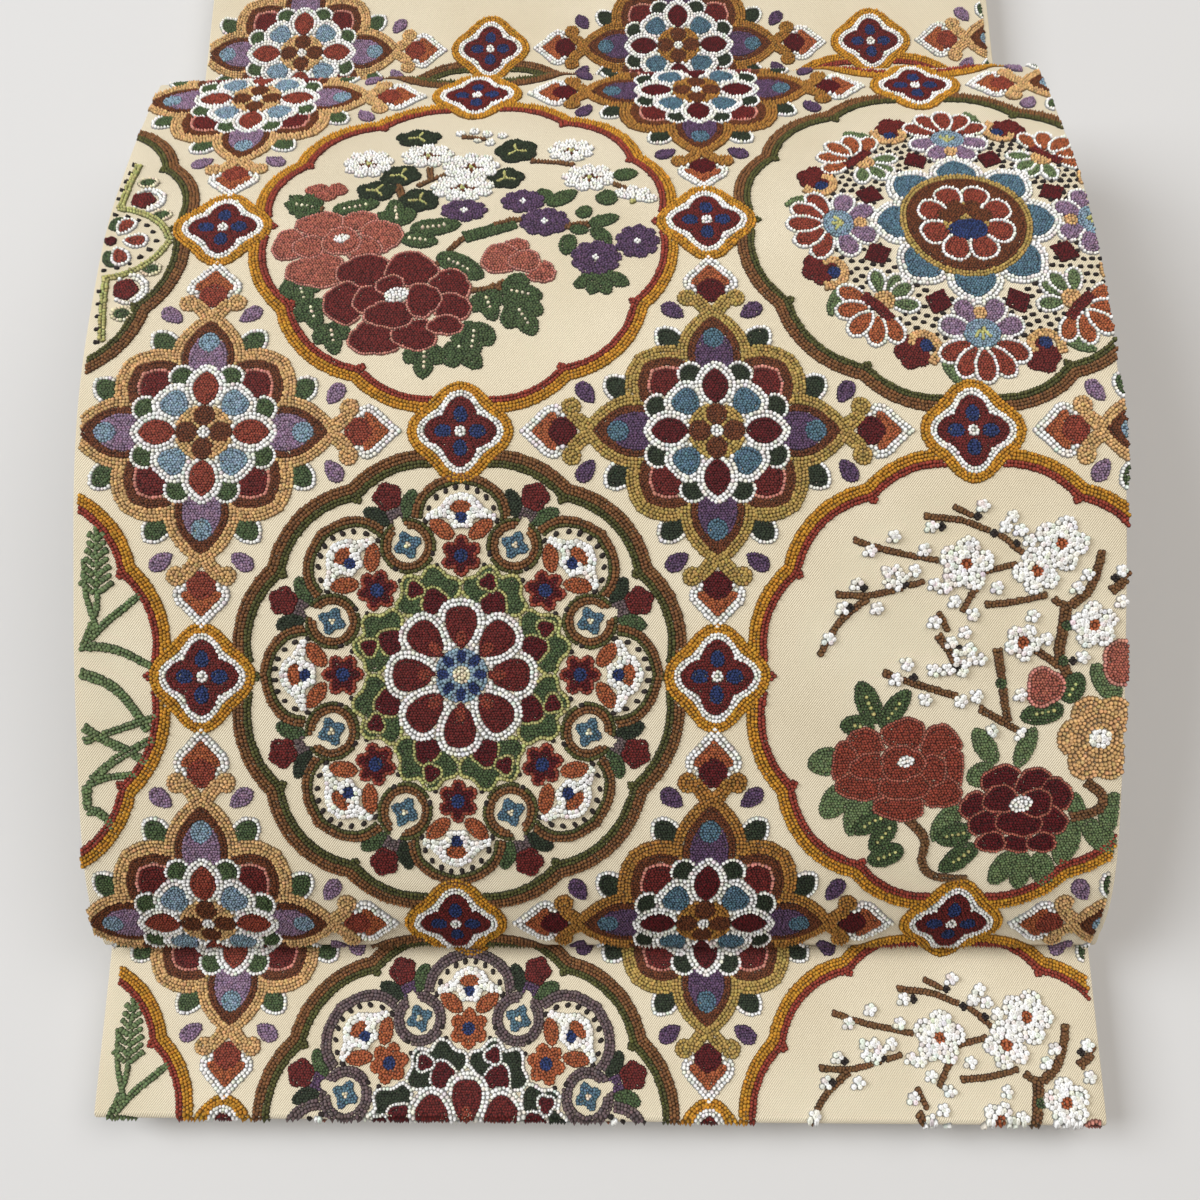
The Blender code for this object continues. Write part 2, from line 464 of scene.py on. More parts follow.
def inside(outline, points):
    """Which points lie inside an outline."""
    ahead = np.roll(outline, -1)
    rise = (ahead.imag - outline.imag)[:, None]
    rise = np.where(np.abs(rise) < 1e-9, 1e-9, rise)
    crosses = (outline.imag[:, None] > points.imag) != (ahead.imag[:, None] > points.imag)
    reach = (ahead.real - outline.real)[:, None] / rise
    at = reach * (points.imag - outline.imag[:, None]) + outline.real[:, None]
    return (crosses & (points.real < at)).sum(0) % 2 == 1


def corners(outline):
    low = complex(outline.real.min(), outline.imag.min())
    return low, complex(outline.real.max(), outline.imag.max())


# ---------------------------------------------------------------- laying the knots


def spaced(line, clear, pitch, row):
    """Knots at even steps along the clear runs of a closed line."""
    if clear.all():
        loop = np.append(line, line[0])
        along = distances(loop)
        count = max(1, round(along[-1] / pitch))
        return points_at(loop, along, (np.arange(count) + 0.5 * (row % 2)) * along[-1] / count)
    start = int(np.flatnonzero(~clear)[0])
    line, clear = np.roll(line, -start), np.roll(clear, -start)
    edges = np.flatnonzero(np.diff(np.concatenate([[False], clear, [False]]).astype(int)))
    found = []
    for first, last in zip(edges[::2], edges[1::2]):
        run = line[first:last]
        along = distances(run)
        count = max(1, int(along[-1] / pitch) + 1)
        spare = along[-1] - (count - 1) * pitch
        found.append(points_at(run, along, spare / 2 + np.arange(count) * pitch))
    return np.concatenate(found) if found else np.zeros(0, complex)


def grid_inside(outline, edge, depth, step, slack=0.0):
    """Points of a six-sided grid that lie inside an outline, at least depth from its edge."""
    low, high = corners(outline)
    rows = np.arange(low.imag - step, high.imag + step, step * 0.866)
    columns = np.arange(low.real - step, high.real + step, step)
    points = (columns[None, :] + 0.5 * step * (np.arange(len(rows)) % 2)[:, None]) + 1j * rows[:, None]
    points = points.ravel()
    if slack:
        random = np.random.default_rng(int(abs(low) * 1000) % 100000)
        across = random.uniform(-1, 1, len(points))
        points = points + slack * (across + 1j * random.uniform(-1, 1, len(points)))
    points = points[inside(outline, points)]
    if len(points):
        points = points[np.abs(points[:, None] - edge[None, :]).min(1) > depth]
    return points


class Motif:
    """Patches of knots, each laid over the ones before it."""

    def __init__(self):
        self.patches = []

    def patch(self, outline, *bands):
        """Bands go from the edge inwards: (rows, thread), or a thread that fills what is left."""
        full = []
        for band in bands:
            if isinstance(band, str):
                band = (ALL, band, FINE)
            full.append(band if len(band) == 3 else (*band, REGULAR))
        self.patches.append((np.asarray(outline, complex), full))

    def around(self, other, count, first=0.0):
        """Lays another motif count times round the middle."""
        for index in range(count):
            turn = towards(first + 360 * index / count)
            self.patches += [(outline * turn, bands) for outline, bands in other.patches]

    def knots(self):
        """Every knot's place, thread and pitch, with the covered ones left out."""
        covers = []
        self.places, self.threads, self.pitches = np.zeros(0, complex), [], np.zeros(0)
        for outline, bands in reversed(self.patches):
            low, high = corners(outline)
            over = []
            for cover, its_low, its_high in covers:
                across = its_low.real < high.real and its_high.real > low.real
                if across and its_low.imag < high.imag and its_high.imag > low.imag:
                    over.append(cover)
            if bands[0][1] != BARE:
                self.fill(outline, bands, over)
            if bands[-1][1] == BARE or bands[-1][0] == ALL:
                covers.append((outline, low, high))
        return self.places, np.array(self.threads, int), self.pitches

    def fill(self, outline, bands, over):
        """Lays one patch's rows and then closes the gaps between them."""
        edge = even(outline, OUTLINE_STEP)
        area = np.sum(edge.real * np.roll(edge, -1).imag - np.roll(edge, -1).real * edge.imag)
        step = np.roll(edge, -1) - np.roll(edge, 1)
        inward = 1j * step / np.maximum(np.abs(step), 1e-9) * np.sign(area)
        depth = 0.0
        for rows, thread, pitch in bands:
            if thread == BARE:
                return
            start = depth
            filling = rows == ALL
            for row in range(1 if filling and pitch == FINE else rows):
                middle = depth + 0.5 * pitch
                line = edge + inward * middle
                clear = np.abs(line[:, None] - edge[None, :]).min(1) > middle - EDGE_SLACK
                clear &= inside(edge, line)
                if not clear.any():
                    break
                self.lay(spaced(line, clear, pitch, row), thread, pitch, over)
                depth += pitch
            if filling:
                grid = grid_inside(outline, edge, depth + 0.4 * pitch, 0.94 * pitch, 0.1 * pitch)
                self.lay(grid, thread, pitch, over)
                self.close(grid_inside(outline, edge, start + 0.36 * pitch, 0.3), thread, pitch, over)

    def lay(self, places, thread, pitch, over):
        """Lays knots at the places that are free."""
        for cover in over:
            places = places[~inside(cover, places)]
        if not len(places):
            return
        self.keep(places[self.room(places, pitch) > KNOT_ROOM], thread, pitch)

    def room(self, places, pitch):
        """How far each place is from its nearest knot, as a share of the distance they need."""
        low, high = corners(places)
        reach = 3.0
        near = (self.places.real > low.real - reach) & (self.places.real < high.real + reach)
        near &= (self.places.imag > low.imag - reach) & (self.places.imag < high.imag + reach)
        if not near.any():
            return np.full(len(places), 9.0)
        apart = np.abs(places[:, None] - self.places[near][None, :])
        return (apart / (0.5 * (pitch + self.pitches[near]))[None, :]).min(1)

    def close(self, spots, thread, pitch, over):
        """Adds knots where there is still room, the widest gap first."""
        for cover in over:
            spots = spots[~inside(cover, spots)]
        if not len(spots):
            return
        room = self.room(spots, pitch)
        while True:
            widest = int(room.argmax())
            if room[widest] < GAP_ROOM:
                return
            self.keep(spots[widest : widest + 1], thread, pitch)
            room = np.minimum(room, np.abs(spots - spots[widest]) / pitch)

    def keep(self, places, thread, pitch):
        self.places = np.append(self.places, places)
        self.threads += [THREAD_NAMES.index(thread)] * len(places)
        self.pitches = np.append(self.pitches, np.full(len(places), pitch))


# ---------------------------------------------------------------- the motifs


def single(outline, *bands):
    """A motif of one patch."""
    motif = Motif()
    motif.patch(outline, *bands)
    return motif


def contact_flower():
    """The small four-lobed flower where two rings meet."""
    motif = Motif()
    motif.patch(four_lobes(14.4, 1.3), (ALL, "gold"))
    motif.patch(four_lobes(11.4, 1.6), (ALL, "white"))
    motif.patch((7.2 + 3.5 * np.abs(np.cos(2 * TURN)) ** 1.4) * np.exp(1j * TURN), "maroon")
    motif.around(single(petal(2.5, 0, 5.2, 4.3), "navy"), 4)
    motif.patch(disc(1.8), (ALL, "white"))
    return motif


def ring(outer, inner):
    """The big scalloped ring, with room left for the flowers where it meets its neighbours."""
    motif = Motif()
    motif.around(single(petal(61.9, 180, 3.3, 2.8, tip=1.5), (ALL, inner)), 12)  # the cusps
    around = np.linspace(0, 2 * math.pi, 480, endpoint=False)
    along_lobe = (around * 6 / math.pi) % 1
    scallop = 65.2 + 2.8 * (1 - (2 * along_lobe - 1) ** 2)
    motif.patch(scallop * np.exp(1j * around), (3, outer), (2, inner))
    for at in (COLUMN, -COLUMN, 1j * ROW, -1j * ROW):
        motif.patch(at + four_lobes(14.4, 1.3), BARE)
    return motif


def lozenge_flower(edge, rose, blue, purple, green):
    """The large pointed flower between four rings."""
    tip = Motif()
    heart = half_outline(45.4 + 0.6j, 45.0 + 5.0j, 46.8 + 8.0j, 50.4 + 7.8j, 54.2 + 4.2j, 58.6 + 0.1j)
    tip.patch(heart, (2, "white", 1.2), "orange")
    tip.patch(petal(41.6, 0, 8.4, 8.8, tip=1.5, root=0.8), rose)
    for side in (-1, 1):
        scroll = [35.6, 38.6 + 1.6j * side, 42.0 + 4.4j * side, 43.6 + 7.2j * side]
        tip.patch(petal(36.6 + 8.8j * side, 56 * side, 7.6, 5.0, tip=1.2, root=0.9, widest=0.6), purple)
        tip.patch(stroke(scroll, 4.6, 4.0), (ALL, edge))
        tip.patch(disc(2.9, 43.0 + 7.4j * side), (ALL, edge))
        tip.patch(petal(25.0 + 9.4j * side, 44 * side, 10.8, 8.4, tip=1.25, root=0.7), (1, "white"), green)
    rim = (8, 12 + 8j, 17.6 + 12.4j, 23.4 + 12.9j, 28.4 + 9.8j, 31.9 + 5.2j, 33.5 + 0.1j)
    corner_edge = single(half_outline(*rim, steps=6), (ALL, edge))
    point_edge = single(petal(10.5, 0, 29.5, 22.4, tip=1.7, root=0.8, widest=0.47), (ALL, edge))
    corner = Motif()
    corner.patch(half_outline(10, 13.6 + 7.6j, 20.4 + 9.4j, 26.4 + 6.4j, 29.9 + 0.1j), "umber")
    lined = half_outline(11, 14.6 + 5.8j, 19.6 + 6.9j, 24.4 + 4.4j, 26.9 + 0.1j)
    corner.patch(lined, (1, "petal line"), "maroon")
    inner = Motif()
    inner.patch(petal(12.6, 0, 24.0, 15.6, tip=1.6, root=0.8, widest=0.48), "umber")
    inner.patch(petal(15.0, 0, 17.4, 11.6, tip=1.2, root=0.8), purple)
    inner.patch(petal(26.0, 0, 6.6, 6.4, tip=1.1), blue)
    berry = single(disc(4.3, 18.8), (1, "white"), green)
    slanted = single(petal(5.2, 0, 13.4, 13.0, tip=0.72, root=0.95, widest=0.60), (2, "white", 1.2), blue)
    straight = single(petal(6.2, 0, 15.8, 12.6, tip=1.45, root=1.15), (2, "white", 1.2), rose)
    motif = Motif()
    for part, first in (
        (tip, 0), (corner_edge, 45), (point_edge, 0), (corner, 45), (inner, 0), (berry, 22.5), (berry, 67.5),
        (slanted, 45), (straight, 0),
    ):
        motif.around(part, 4, first)
    motif.patch(disc(8.6), (ALL, edge))
    motif.around(single(petal(1.5, 0, 6.8, 6.4, tip=0.85, widest=0.55), "umber"), 4)
    motif.patch(disc(1.9), (ALL, "white"))
    return motif


def black_dots(motif, spots):
    for spot in spots:
        motif.patch(disc(0.8, spot), (ALL, "black"))


def domed_medallion(rim, lining, blossom_thread, frill, stem):
    """Eight domed lobes round an eight-petalled flower."""
    bud = Motif()
    bud.patch(petal(49.0 + 2.0j, 42, 9.0, 4.8, tip=1.2), "dark leaf")
    bud.patch(petal(49.0 - 2.0j, -42, 9.0, 4.8, tip=1.2), "leaf")
    bud.patch(stroke([44.5, 48, 52.5], 3.8, 4.6), stem)
    bud.patch(lobed(3.6, 0.8, 5) + 56.6, "maroon")
    dome = Motif()
    wall = (26 + 8j, 34 + 11.6j, 40.6 + 13.6j, 47.0 + 14.6j, 53.0 + 12.6j, 57.4 + 7.4j, 59.6 + 0.1j)
    dome.patch(half_outline(*wall, steps=5), (2, rim), (1, lining), BARE)
    filling = Motif()
    turns = np.radians([-84, -64, -44, -26, -9, 9, 26, 44, 64, 84])
    black_dots(filling, [44.0 + 11.2 * np.cos(turn) + 10.6j * np.sin(turn) for turn in turns])
    crown = (
        43.2 + 1.2j, 43.0 + 2.8j, 46.2 + 4.4j, 45.2 + 9.4j,
        46.9 + 10.4j, 49.4 + 6.4j, 52.2 + 4.0j, 53.8 + 0.1j,
    )
    filling.patch(half_outline(*crown, steps=5), (ALL, "white", 1.25))
    for side in (-1, 1):
        filling.patch(petal(40.2 + 2.4j * side, 52 * side, 8.6, 4.6, tip=1.2), "orange")
    filling.patch(49.4 + 2.0 * np.cos(TURN) + 3.3j * np.sin(TURN), "orange")
    filling.patch(46.2 + 1.7 * np.cos(TURN) + 2.0j * np.sin(TURN), "navy")
    loop = Motif()
    loop.patch(disc(8.2, 41.0), (1, lining), (2, rim), BARE)
    loop.patch(stroke([42, 46, 50], 3.2), BARE)
    loop.patch(four_lobes(3.4, 0.8) + 41.2, "steel")
    loop.patch(disc(1.1, 41.2), (ALL, "cream"))
    flower = Motif()
    middle = "wine" if blossom_thread == "rust" else blossom_thread
    flower.patch(lobed(4.2, 2.0, 6, 0.8) + 35.0, (1, blossom_thread), middle)
    flower.patch(disc(2.1, 35.0), "navy")
    above, below = 28.8 + 3.6j, 28.8 - 3.6j
    black_dots(flower, (above, below, 27.0, 35.6 + 8.4j, 35.6 - 8.4j, 32.0 + 6.8j, 32.0 - 6.8j))
    trefoil = Motif()
    green = "leaf" if frill == "lime" else "dark leaf"
    cluster = (
        19.0 + 1j, 20.6 + 5.4j, 22.4 + 9.4j, 26.2 + 10.4j, 28.6 + 7.6j, 32.0 + 6.2j, 33.4 + 3.2j, 31.4 + 0.1j,
    )
    trefoil.patch(half_outline(*cluster, steps=5), (1, frill), green)
    for place, size in ((22.8 - 1.0j, 3.3), (28.2 + 3.0j, 1.9)):
        trefoil.patch(lobed(size + 0.8, 0.8, 3) + place, (1, frill, 0.9), "wine")
    petals = Motif()
    petals.patch(petal(5.4, 0, 17.2, 14.2, tip=0.85, root=0.80, widest=0.62), (2, "white", 1.2), "maroon")
    petals.patch(petal(8.6, 0, 4.6, 3.4), "rust")
    motif = Motif()
    for part in (bud, dome, filling, loop, flower, trefoil, petals):
        motif.around(part, 8, 22.5 if part in (bud, loop, trefoil) else 0)
    motif.patch(disc(7.8), (ALL, "sky"))
    motif.around(single(petal(3.4, 0, 4.0, 2.8, tip=0.8), "navy"), 8)
    motif.patch(disc(2.7), (ALL, "cream"))
    return motif


def lotus_medallion():
    """A rosette in a ring of blue petals, with eight flower heads round it."""
    scroll = Motif()
    scroll.patch(petal(46.0 + 6.0j, 40, 12.0, 5.0, tip=1.3), "sage")
    scroll.patch(lobed(4.6, 1.2, 5, 0.8) + 50.4 - 2.2j, "maroon")
    scroll.patch(stroke([52 + 4j, 47 + 5j, 43.6 + 1j, 45 - 3.4j, 48.6 - 3.6j], 3.0, 2.4), (ALL, "peach"))
    scroll.patch(disc(2.1, 47.0 + 0.8j), "navy")
    blue_head = Motif()
    for turn in (-150, -105, 105, 150):
        shape = petal(40.0 + 2.6 * towards(turn), turn, 11.0, 8.0, tip=0.9, widest=0.58)
        blue_head.patch(shape, (1, "white"), "lilac")
    for turn in (-62, 62, -31, 31, 0):
        shape = petal(41.0 + 3.0 * towards(turn), turn, 12.6, 7.6, tip=0.9, widest=0.6)
        blue_head.patch(shape, (1, "white"), "rust")
    blue_head.patch(disc(4.8, 40.0, 1.15), "sky")
    for turn in (-40, 0, 40):
        blue_head.patch(stroke([38.4, 38.4 + 3.8 * towards(turn)], 1.0), (ALL, "lime"))
    blue_head.patch(disc(2.2, 33.2), (ALL, "peach"))
    leafy_head = Motif()
    for turn in (-168, 168, -128, 128):
        shape = petal(41.4 + 2.4 * towards(turn), turn, 9.6, 6.0, tip=1.1, widest=0.56)
        leafy_head.patch(shape, (1, "white"), "sage")
    for turn in (-70, 70, -36, 36, 0):
        shape = petal(43.0 + 2.6 * towards(turn), turn, 11.4, 7.0, widest=0.58)
        leafy_head.patch(shape, (1, "white"), "orange")
    leafy_head.patch(petal(37.2, 0, 7.6, 6.8, tip=0.8), (ALL, "peach"))
    leafy_head.patch(stroke([44.0 - 5.6j, 43.4, 44.0 + 5.6j], 3.4), "maroon")
    diamond = single(even(mirrored([26.8, 31.4 + 4.4j, 36.2 + 0.1j]), 1.2), "wine")
    blue = single(petal(15, 0, 15.4, 17.4, tip=1.5, root=0.5, widest=0.44), (2, "white", 1.2), "steel")
    rosette = single(petal(5.2, 0, 10.6, 9.6, tip=0.8, root=0.8, widest=0.6), (1, "white"), "rust")
    motif = Motif()
    for step in range(8):
        black_dots(motif, even(disc(29.6 + 2.6 * step), 3.0))
    motif.around(scroll, 8, 22.5)
    for part, count, first in ((leafy_head, 4, 45), (blue_head, 4, 0), (diamond, 8, 22.5), (blue, 8, 0)):
        motif.around(part, count, first)
    motif.patch(disc(20.8), (2, "old gold"), "umber")
    motif.around(rosette, 8, 22.5)
    motif.patch(disc(7.4), (ALL, "old gold"))
    for turn in (20, 65, 115, 160):
        motif.patch(petal(2.0 * towards(turn), turn, 7.0, 5.6, tip=0.8), "umber")
    motif.patch(petal(-6.2 - 3.4j, 0, 12.4, 8.0, tip=0.8, widest=0.56), "navy")
    return motif


def star_medallion():
    """The side of a star in a lime frame, with flowers in and round it, for the ring at the side edge."""
    motif = Motif()
    point = np.array([41 + 15j, 47 + 13.5j, 52.5 + 10.5j, 57 + 6j, 60 + 0.1j])
    edge = np.array([42 + 15j, 42.5 + 26j, 43.5 + 38j])
    middle = -5j  # it hangs a little below the ring's middle
    for side in (np.array, np.conj):
        motif.patch(disc(5.8, side(50 + 19j) + middle), (2, "white", 1.2), BARE)
        motif.patch(lobed(3.4, 0.6, 5) + side(48.5 + 19j) + middle, "maroon")
        for at in (45 + 28j, 52 + 11.5j):
            motif.patch(petal(side(at) + middle, 0, 7, 5.6, tip=0.9), (1, "cream"), "leaf")
        for line in (point, edge):
            motif.patch(stroke(list(side(line) + middle), 2.2), (ALL, "lime"))
        within = 41 + 0.78 * (even(smooth(list(point)), 4.6, closed=False) - 41)
        beside = even(smooth(list(edge)), 4.4, closed=False) - 1.5
        black_dots(motif, side(np.concatenate([within, beside[1:]])) + middle)
        motif.patch(petal(side(41 + 4.5j) + middle, 60 if side is np.array else -60, 6.6, 5.0), "leaf")
    for turn in (66, 0, -66):
        shape = petal(42.5 + 2.6 * towards(turn), turn, 8.2, 6.4, tip=0.8, widest=0.6)
        motif.patch(shape + middle, (1, "white"), "rust")
    motif.patch(disc(1.8, 41.5 + middle), "wine")
    return motif


def vein(motif, at, heading, length, thread="cream", share=0.62):
    """A row of pale knots down the middle of a leaf."""
    for step in np.arange(0.24 * length, share * length + 0.24 * length, 1.7):
        motif.patch(disc(0.62, at + step * towards(heading)), (ALL, thread))


def leaf(motif, at, heading, length, width, line=None, thread="leaf"):
    """A leaf, with a line of another thread down its middle."""
    motif.patch(petal(at, heading, length, width, tip=1.2, root=1.0, widest=0.48), thread)
    if line:
        vein(motif, at, heading, length, line, 0.5)


def frilled(motif, at, heading, size, thread="leaf", line="cream"):
    """A peony leaf with three points."""
    for turn, share in ((-40, 0.72), (40, 0.72), (0, 1.0)):
        motif.patch(petal(at, heading + turn, size * share, size * 0.5, tip=1.3, widest=0.56), thread)
    if line:
        vein(motif, at, heading, size, line, 0.45)


def peony(motif, petals, thread, line, heart=None, size=2.6):
    """A full peony seen from above: wide petals, each with a line of paler thread round it."""
    for x, y, across, tall, turned in petals:
        shape = lobed(0.98, 0.18, 3, 0.9, turned=turned + 60) + 0.025 * np.exp(10j * TURN)
        shape = shape.real * across / 2.1 + 1j * shape.imag * tall / 2.1
        motif.patch(x + 1j * y + shape, (1, line, 0.8), thread)
    if heart:
        motif.patch(petal(heart - size, 12, 2 * size, size * 1.3), (ALL, "white"))


def blossom(motif, at, radius, turned=0.0):
    """A plum blossom: five round petals of bold knots round an orange middle."""
    for index in range(5):
        place = at + 0.60 * radius * towards(turned + 72 * index)
        motif.patch(disc(0.43 * radius, place), (ALL, "white", BOLD))
    if radius > 4:
        motif.patch(disc(1.9, at), (ALL, "orange"))


def chrysanthemum(motif, at, across, tall, half=False):
    """A small white chrysanthemum seen from above, or from its side when half."""
    if not half:
        # painted shade: a dark umber patch under the petals, so the gaps between them show dark
        motif.patch(at + 0.40 * (across * np.cos(TURN) + 1j * tall * np.sin(TURN)), "umber")
    for share, count in ((1.0, 9), (0.56, 5)):
        for index in range(count):
            turn = 360 * (index + 0.3) / count
            if half and not 0 < (turn + 180) % 360 - 180 < 160:
                continue
            root = 0.12 * share * towards(turn)
            shape = petal(root, turn, 0.40 * share, 0.22 * share + 0.04, tip=0.75, widest=0.66)
            motif.patch(at + across * shape.real + 1j * tall * shape.imag, (ALL, "white"))
    motif.patch(disc(1.0, at), (ALL, "lime"))


def aster(motif, at, across, tall, turned=0.0):
    """A purple aster with a white middle."""
    motif.patch(at + 0.46 * (across * np.cos(TURN) + 1j * tall * np.sin(TURN)), "lilac")
    for index in range(9):
        shape = petal(0, turned + 40 * index, 0.5, 0.30, tip=0.75, widest=0.64)
        motif.patch(at + across * shape.real + 1j * tall * shape.imag, "plum")
    motif.patch(disc(1.2, at), (ALL, "white"))


# The places in the peonies, the garden, the plum tree and the grasses, in millimetres from the
# ring's middle, were read off the photo by eye, turned into millimetres of cloth by a separate
# program, and rounded. They follow the photo's own arrangement and aren't laid out by rule.

# The petals of each peony, the rear ones first: x, y, across, tall, turned
PINK_BUD = ((-48, 17, 7, 6, 0), (-42, 17, 7, 6, 30), (-45, 15, 7, 6.5, 0))
OPENING_PEONY = ((24, -19, 9, 8, 20), (16, -10, 9, 7, 0), (12, -14, 13, 11, 40), (19, -15, 10, 8, 10))
PINK_PEONY = (
    (-33, 1, 13, 9, 20), (-45, 0, 15, 11, 0), (-26, -5, 13, 13, 70), (-54, -8, 11, 12, 40),
    (-45, -18, 18, 13, 10), (-31, -10, 11, 10, 50), (-48, -9, 10, 9, 0), (-38, -7, 12, 11, 30),
)
MAROON_PEONY = (
    (-30, -19, 17, 13, 10), (-16, -18, 16, 13, 40), (-4, -24, 13, 12, 20), (-36, -30, 12, 15, 0),
    (-3, -32, 11, 11, 60), (-26, -42, 16, 12, 30), (-14, -41, 14, 11, 0), (-5, -38, 11, 7, 20),
    (-28, -29, 11, 10, 40), (-22, -34, 15, 10, 10), (-12, -29, 11, 12, 70), (-22, -24, 9, 8, 0),
)


def garden():
    """Peonies, chrysanthemums and asters on leafy stems."""
    motif = Motif()
    for points, wide, thread in (
        ([-9 - 17j, -4 - 10j, 0.5 - 5j], 1.9, "bark"),
        ([0 - 5.5j, 6 - 3.5j, 12 - 1.5j, 16 - 0j], 4.5, "leaf"),
        ([9 - 0.5j, 14 + 1j, 19 + 1.5j], 1.7, "bark"),
        ([20 + 31j, 27 + 30j, 34 + 28j], 1.7, "bark"),
        ([-16 + 18j, -11 + 22j, -6 + 25j], 1.7, "bark"),
        ([-23 + 20j, -20 + 11j], 2.6, "bark"),
        ([-13 + 28j, -12 + 22j], 2, "bark"),
        ([-46 + 12j, -46 + 6j], 1.9, "bark"),
        ([31 - 2j, 36 - 1j, 41 - 1j], 2.4, "bark"),
        ([0 - 26j, 7 - 25j, 12 - 23j, 16 - 20j], 1.9, "bark"),
        ([10 - 24j, 15 - 27j, 18 - 30j], 1.7, "bark"),
        ([45 + 19j, 52 + 14j], 1.9, "bark"),
    ):
        motif.patch(stroke(points, wide), (ALL, thread) if thread == "bark" else thread)
    for x, y in ((-4, 48), (0.5, 49), (5, 47), (10, 46), (6, 42), (2, 44)):
        motif.patch(disc(1.7, x + 1j * y), (ALL, "white"))
    motif.patch(stroke([-3.5 + 46j, 1.5 + 45j, 4.5 + 44j], 1.6), (ALL, "bark"))
    for x, y, wide, tall in (
        (-18, 46, 15, 10), (-22, 24, 13, 11), (-29, 16, 13, 10), (-15, 11, 13, 11), (15, 37, 14, 13),
        (12, 22, 12, 11),
    ):
        centre = x + 1j * y
        shape = lobed(0.42, 0.1, 5, 0.8, turned=x * 7)
        motif.patch(centre + wide * shape.real + 1j * tall * shape.imag, "dark leaf")
        for turn in (90, 205, 335):
            motif.patch(stroke([centre, centre + 3.5 * towards(turn + x)], 1.1), (ALL, "lime", 0.9))
    for x, y, wide, tall in (
        (-33, 31, 16, 15), (-14, 35, 17, 13), (0.6, 28, 18, 15), (-1.6, 17, 20, 13), (33, 36, 15, 12),
        (39, 21, 17, 13),
    ):
        chrysanthemum(motif, x + 1j * y, wide, tall)
    chrysanthemum(motif, 53 + 9j, 15, 14, half=True)
    for x, y, turn, length, width in (
        (27, 9, 118, 8, 5), (26, 8, 36, 11, 6), (47, 21, 20, 8, 6), (43, 8, 60, 7, 7), (36, 2, 60, 6, 5),
        (39, -1, 20, 10, 5), (33, -2.6, -10, 6, 4), (40, -2, -50, 9, 5), (33, -5, -100, 8, 5.5),
        (42, -20, -150, 9, 5), (42, -20, -112, 8, 5), (42, -20, -70, 8, 5), (43, -20, -28, 9, 5),
    ):
        leaf(motif, x + 1j * y, turn, length, width)
    for x, y, wide, tall in (
        (-0.6, 6, 15, 10), (18, 10, 14, 11), (25, 0.5, 16, 12), (41, -14, 16, 13), (54, -8, 14, 13),
    ):
        aster(motif, x + 1j * y, wide, tall, turned=x * 3)
    for x, y, turn, size in ((-48, 7, 140, 11), (-46, 8, 168, 12), (-21, -0.5, 100, 12)):
        frilled(motif, x + 1j * y, turn, size)
    for x, y, turn, length, width in (
        (-42, 6.5, 14, 15, 7), (-17, -2.2, 8, 16, 7), (-20, -5.5, -8, 12, 6.5), (-8, -12, -32, 17, 8),
    ):
        leaf(motif, x + 1j * y, turn, length, width, "cream")
    for x, y, turn, size in (
        (-51, -20, -72, 13), (-47, -29, -70, 11), (-40, -37, -78, 11), (-11, -44, -92, 12),
        (6.5, -26, -72, 11), (12, -25, -14, 13), (16, -30, -62, 13), (-3, -43, -46, 13), (4, -37, -96, 13),
    ):
        frilled(motif, x + 1j * y, turn, size)
    peony(motif, PINK_BUD, "pink", "pink")
    peony(motif, OPENING_PEONY, "pink", "petal line")
    peony(motif, PINK_PEONY, "pink", "petal line", -38 - 6.5j)
    peony(motif, MAROON_PEONY, "maroon", "petal line", -20 - 28j, 4)
    return motif


RUST_PEONY = (
    (-20, -16, 13, 9, 0), (-9, -19, 12, 11, 40), (-32, -20, 13, 11, 20), (-6, -26, 9, 13, 0),
    (-37, -24, 8, 12, 50), (-32, -30, 14, 9, 10), (-8, -32, 12, 9, 30), (-20, -36, 15, 8, 0),
    (-29, -25, 13, 8, 20), (-12, -26, 11, 9, 0), (-19, -30, 15, 9, 30), (-20, -24, 13, 10, 60),
)
WINE_PEONY = (
    (10, -29, 12, 9, 0), (20, -30, 12, 9, 30), (26, -33, 10, 10, 50), (2.4, -36, 9, 8, 20),
    (6.5, -41, 11, 9, 0), (24, -40, 12, 9, 40), (16, -46, 12, 6, 0), (8, -46, 9, 6, 20),
    (23, -46, 9, 6, 10), (16, -40, 14, 9, 10), (10, -34, 11, 8, 30), (20, -35, 11, 8, 0),
)


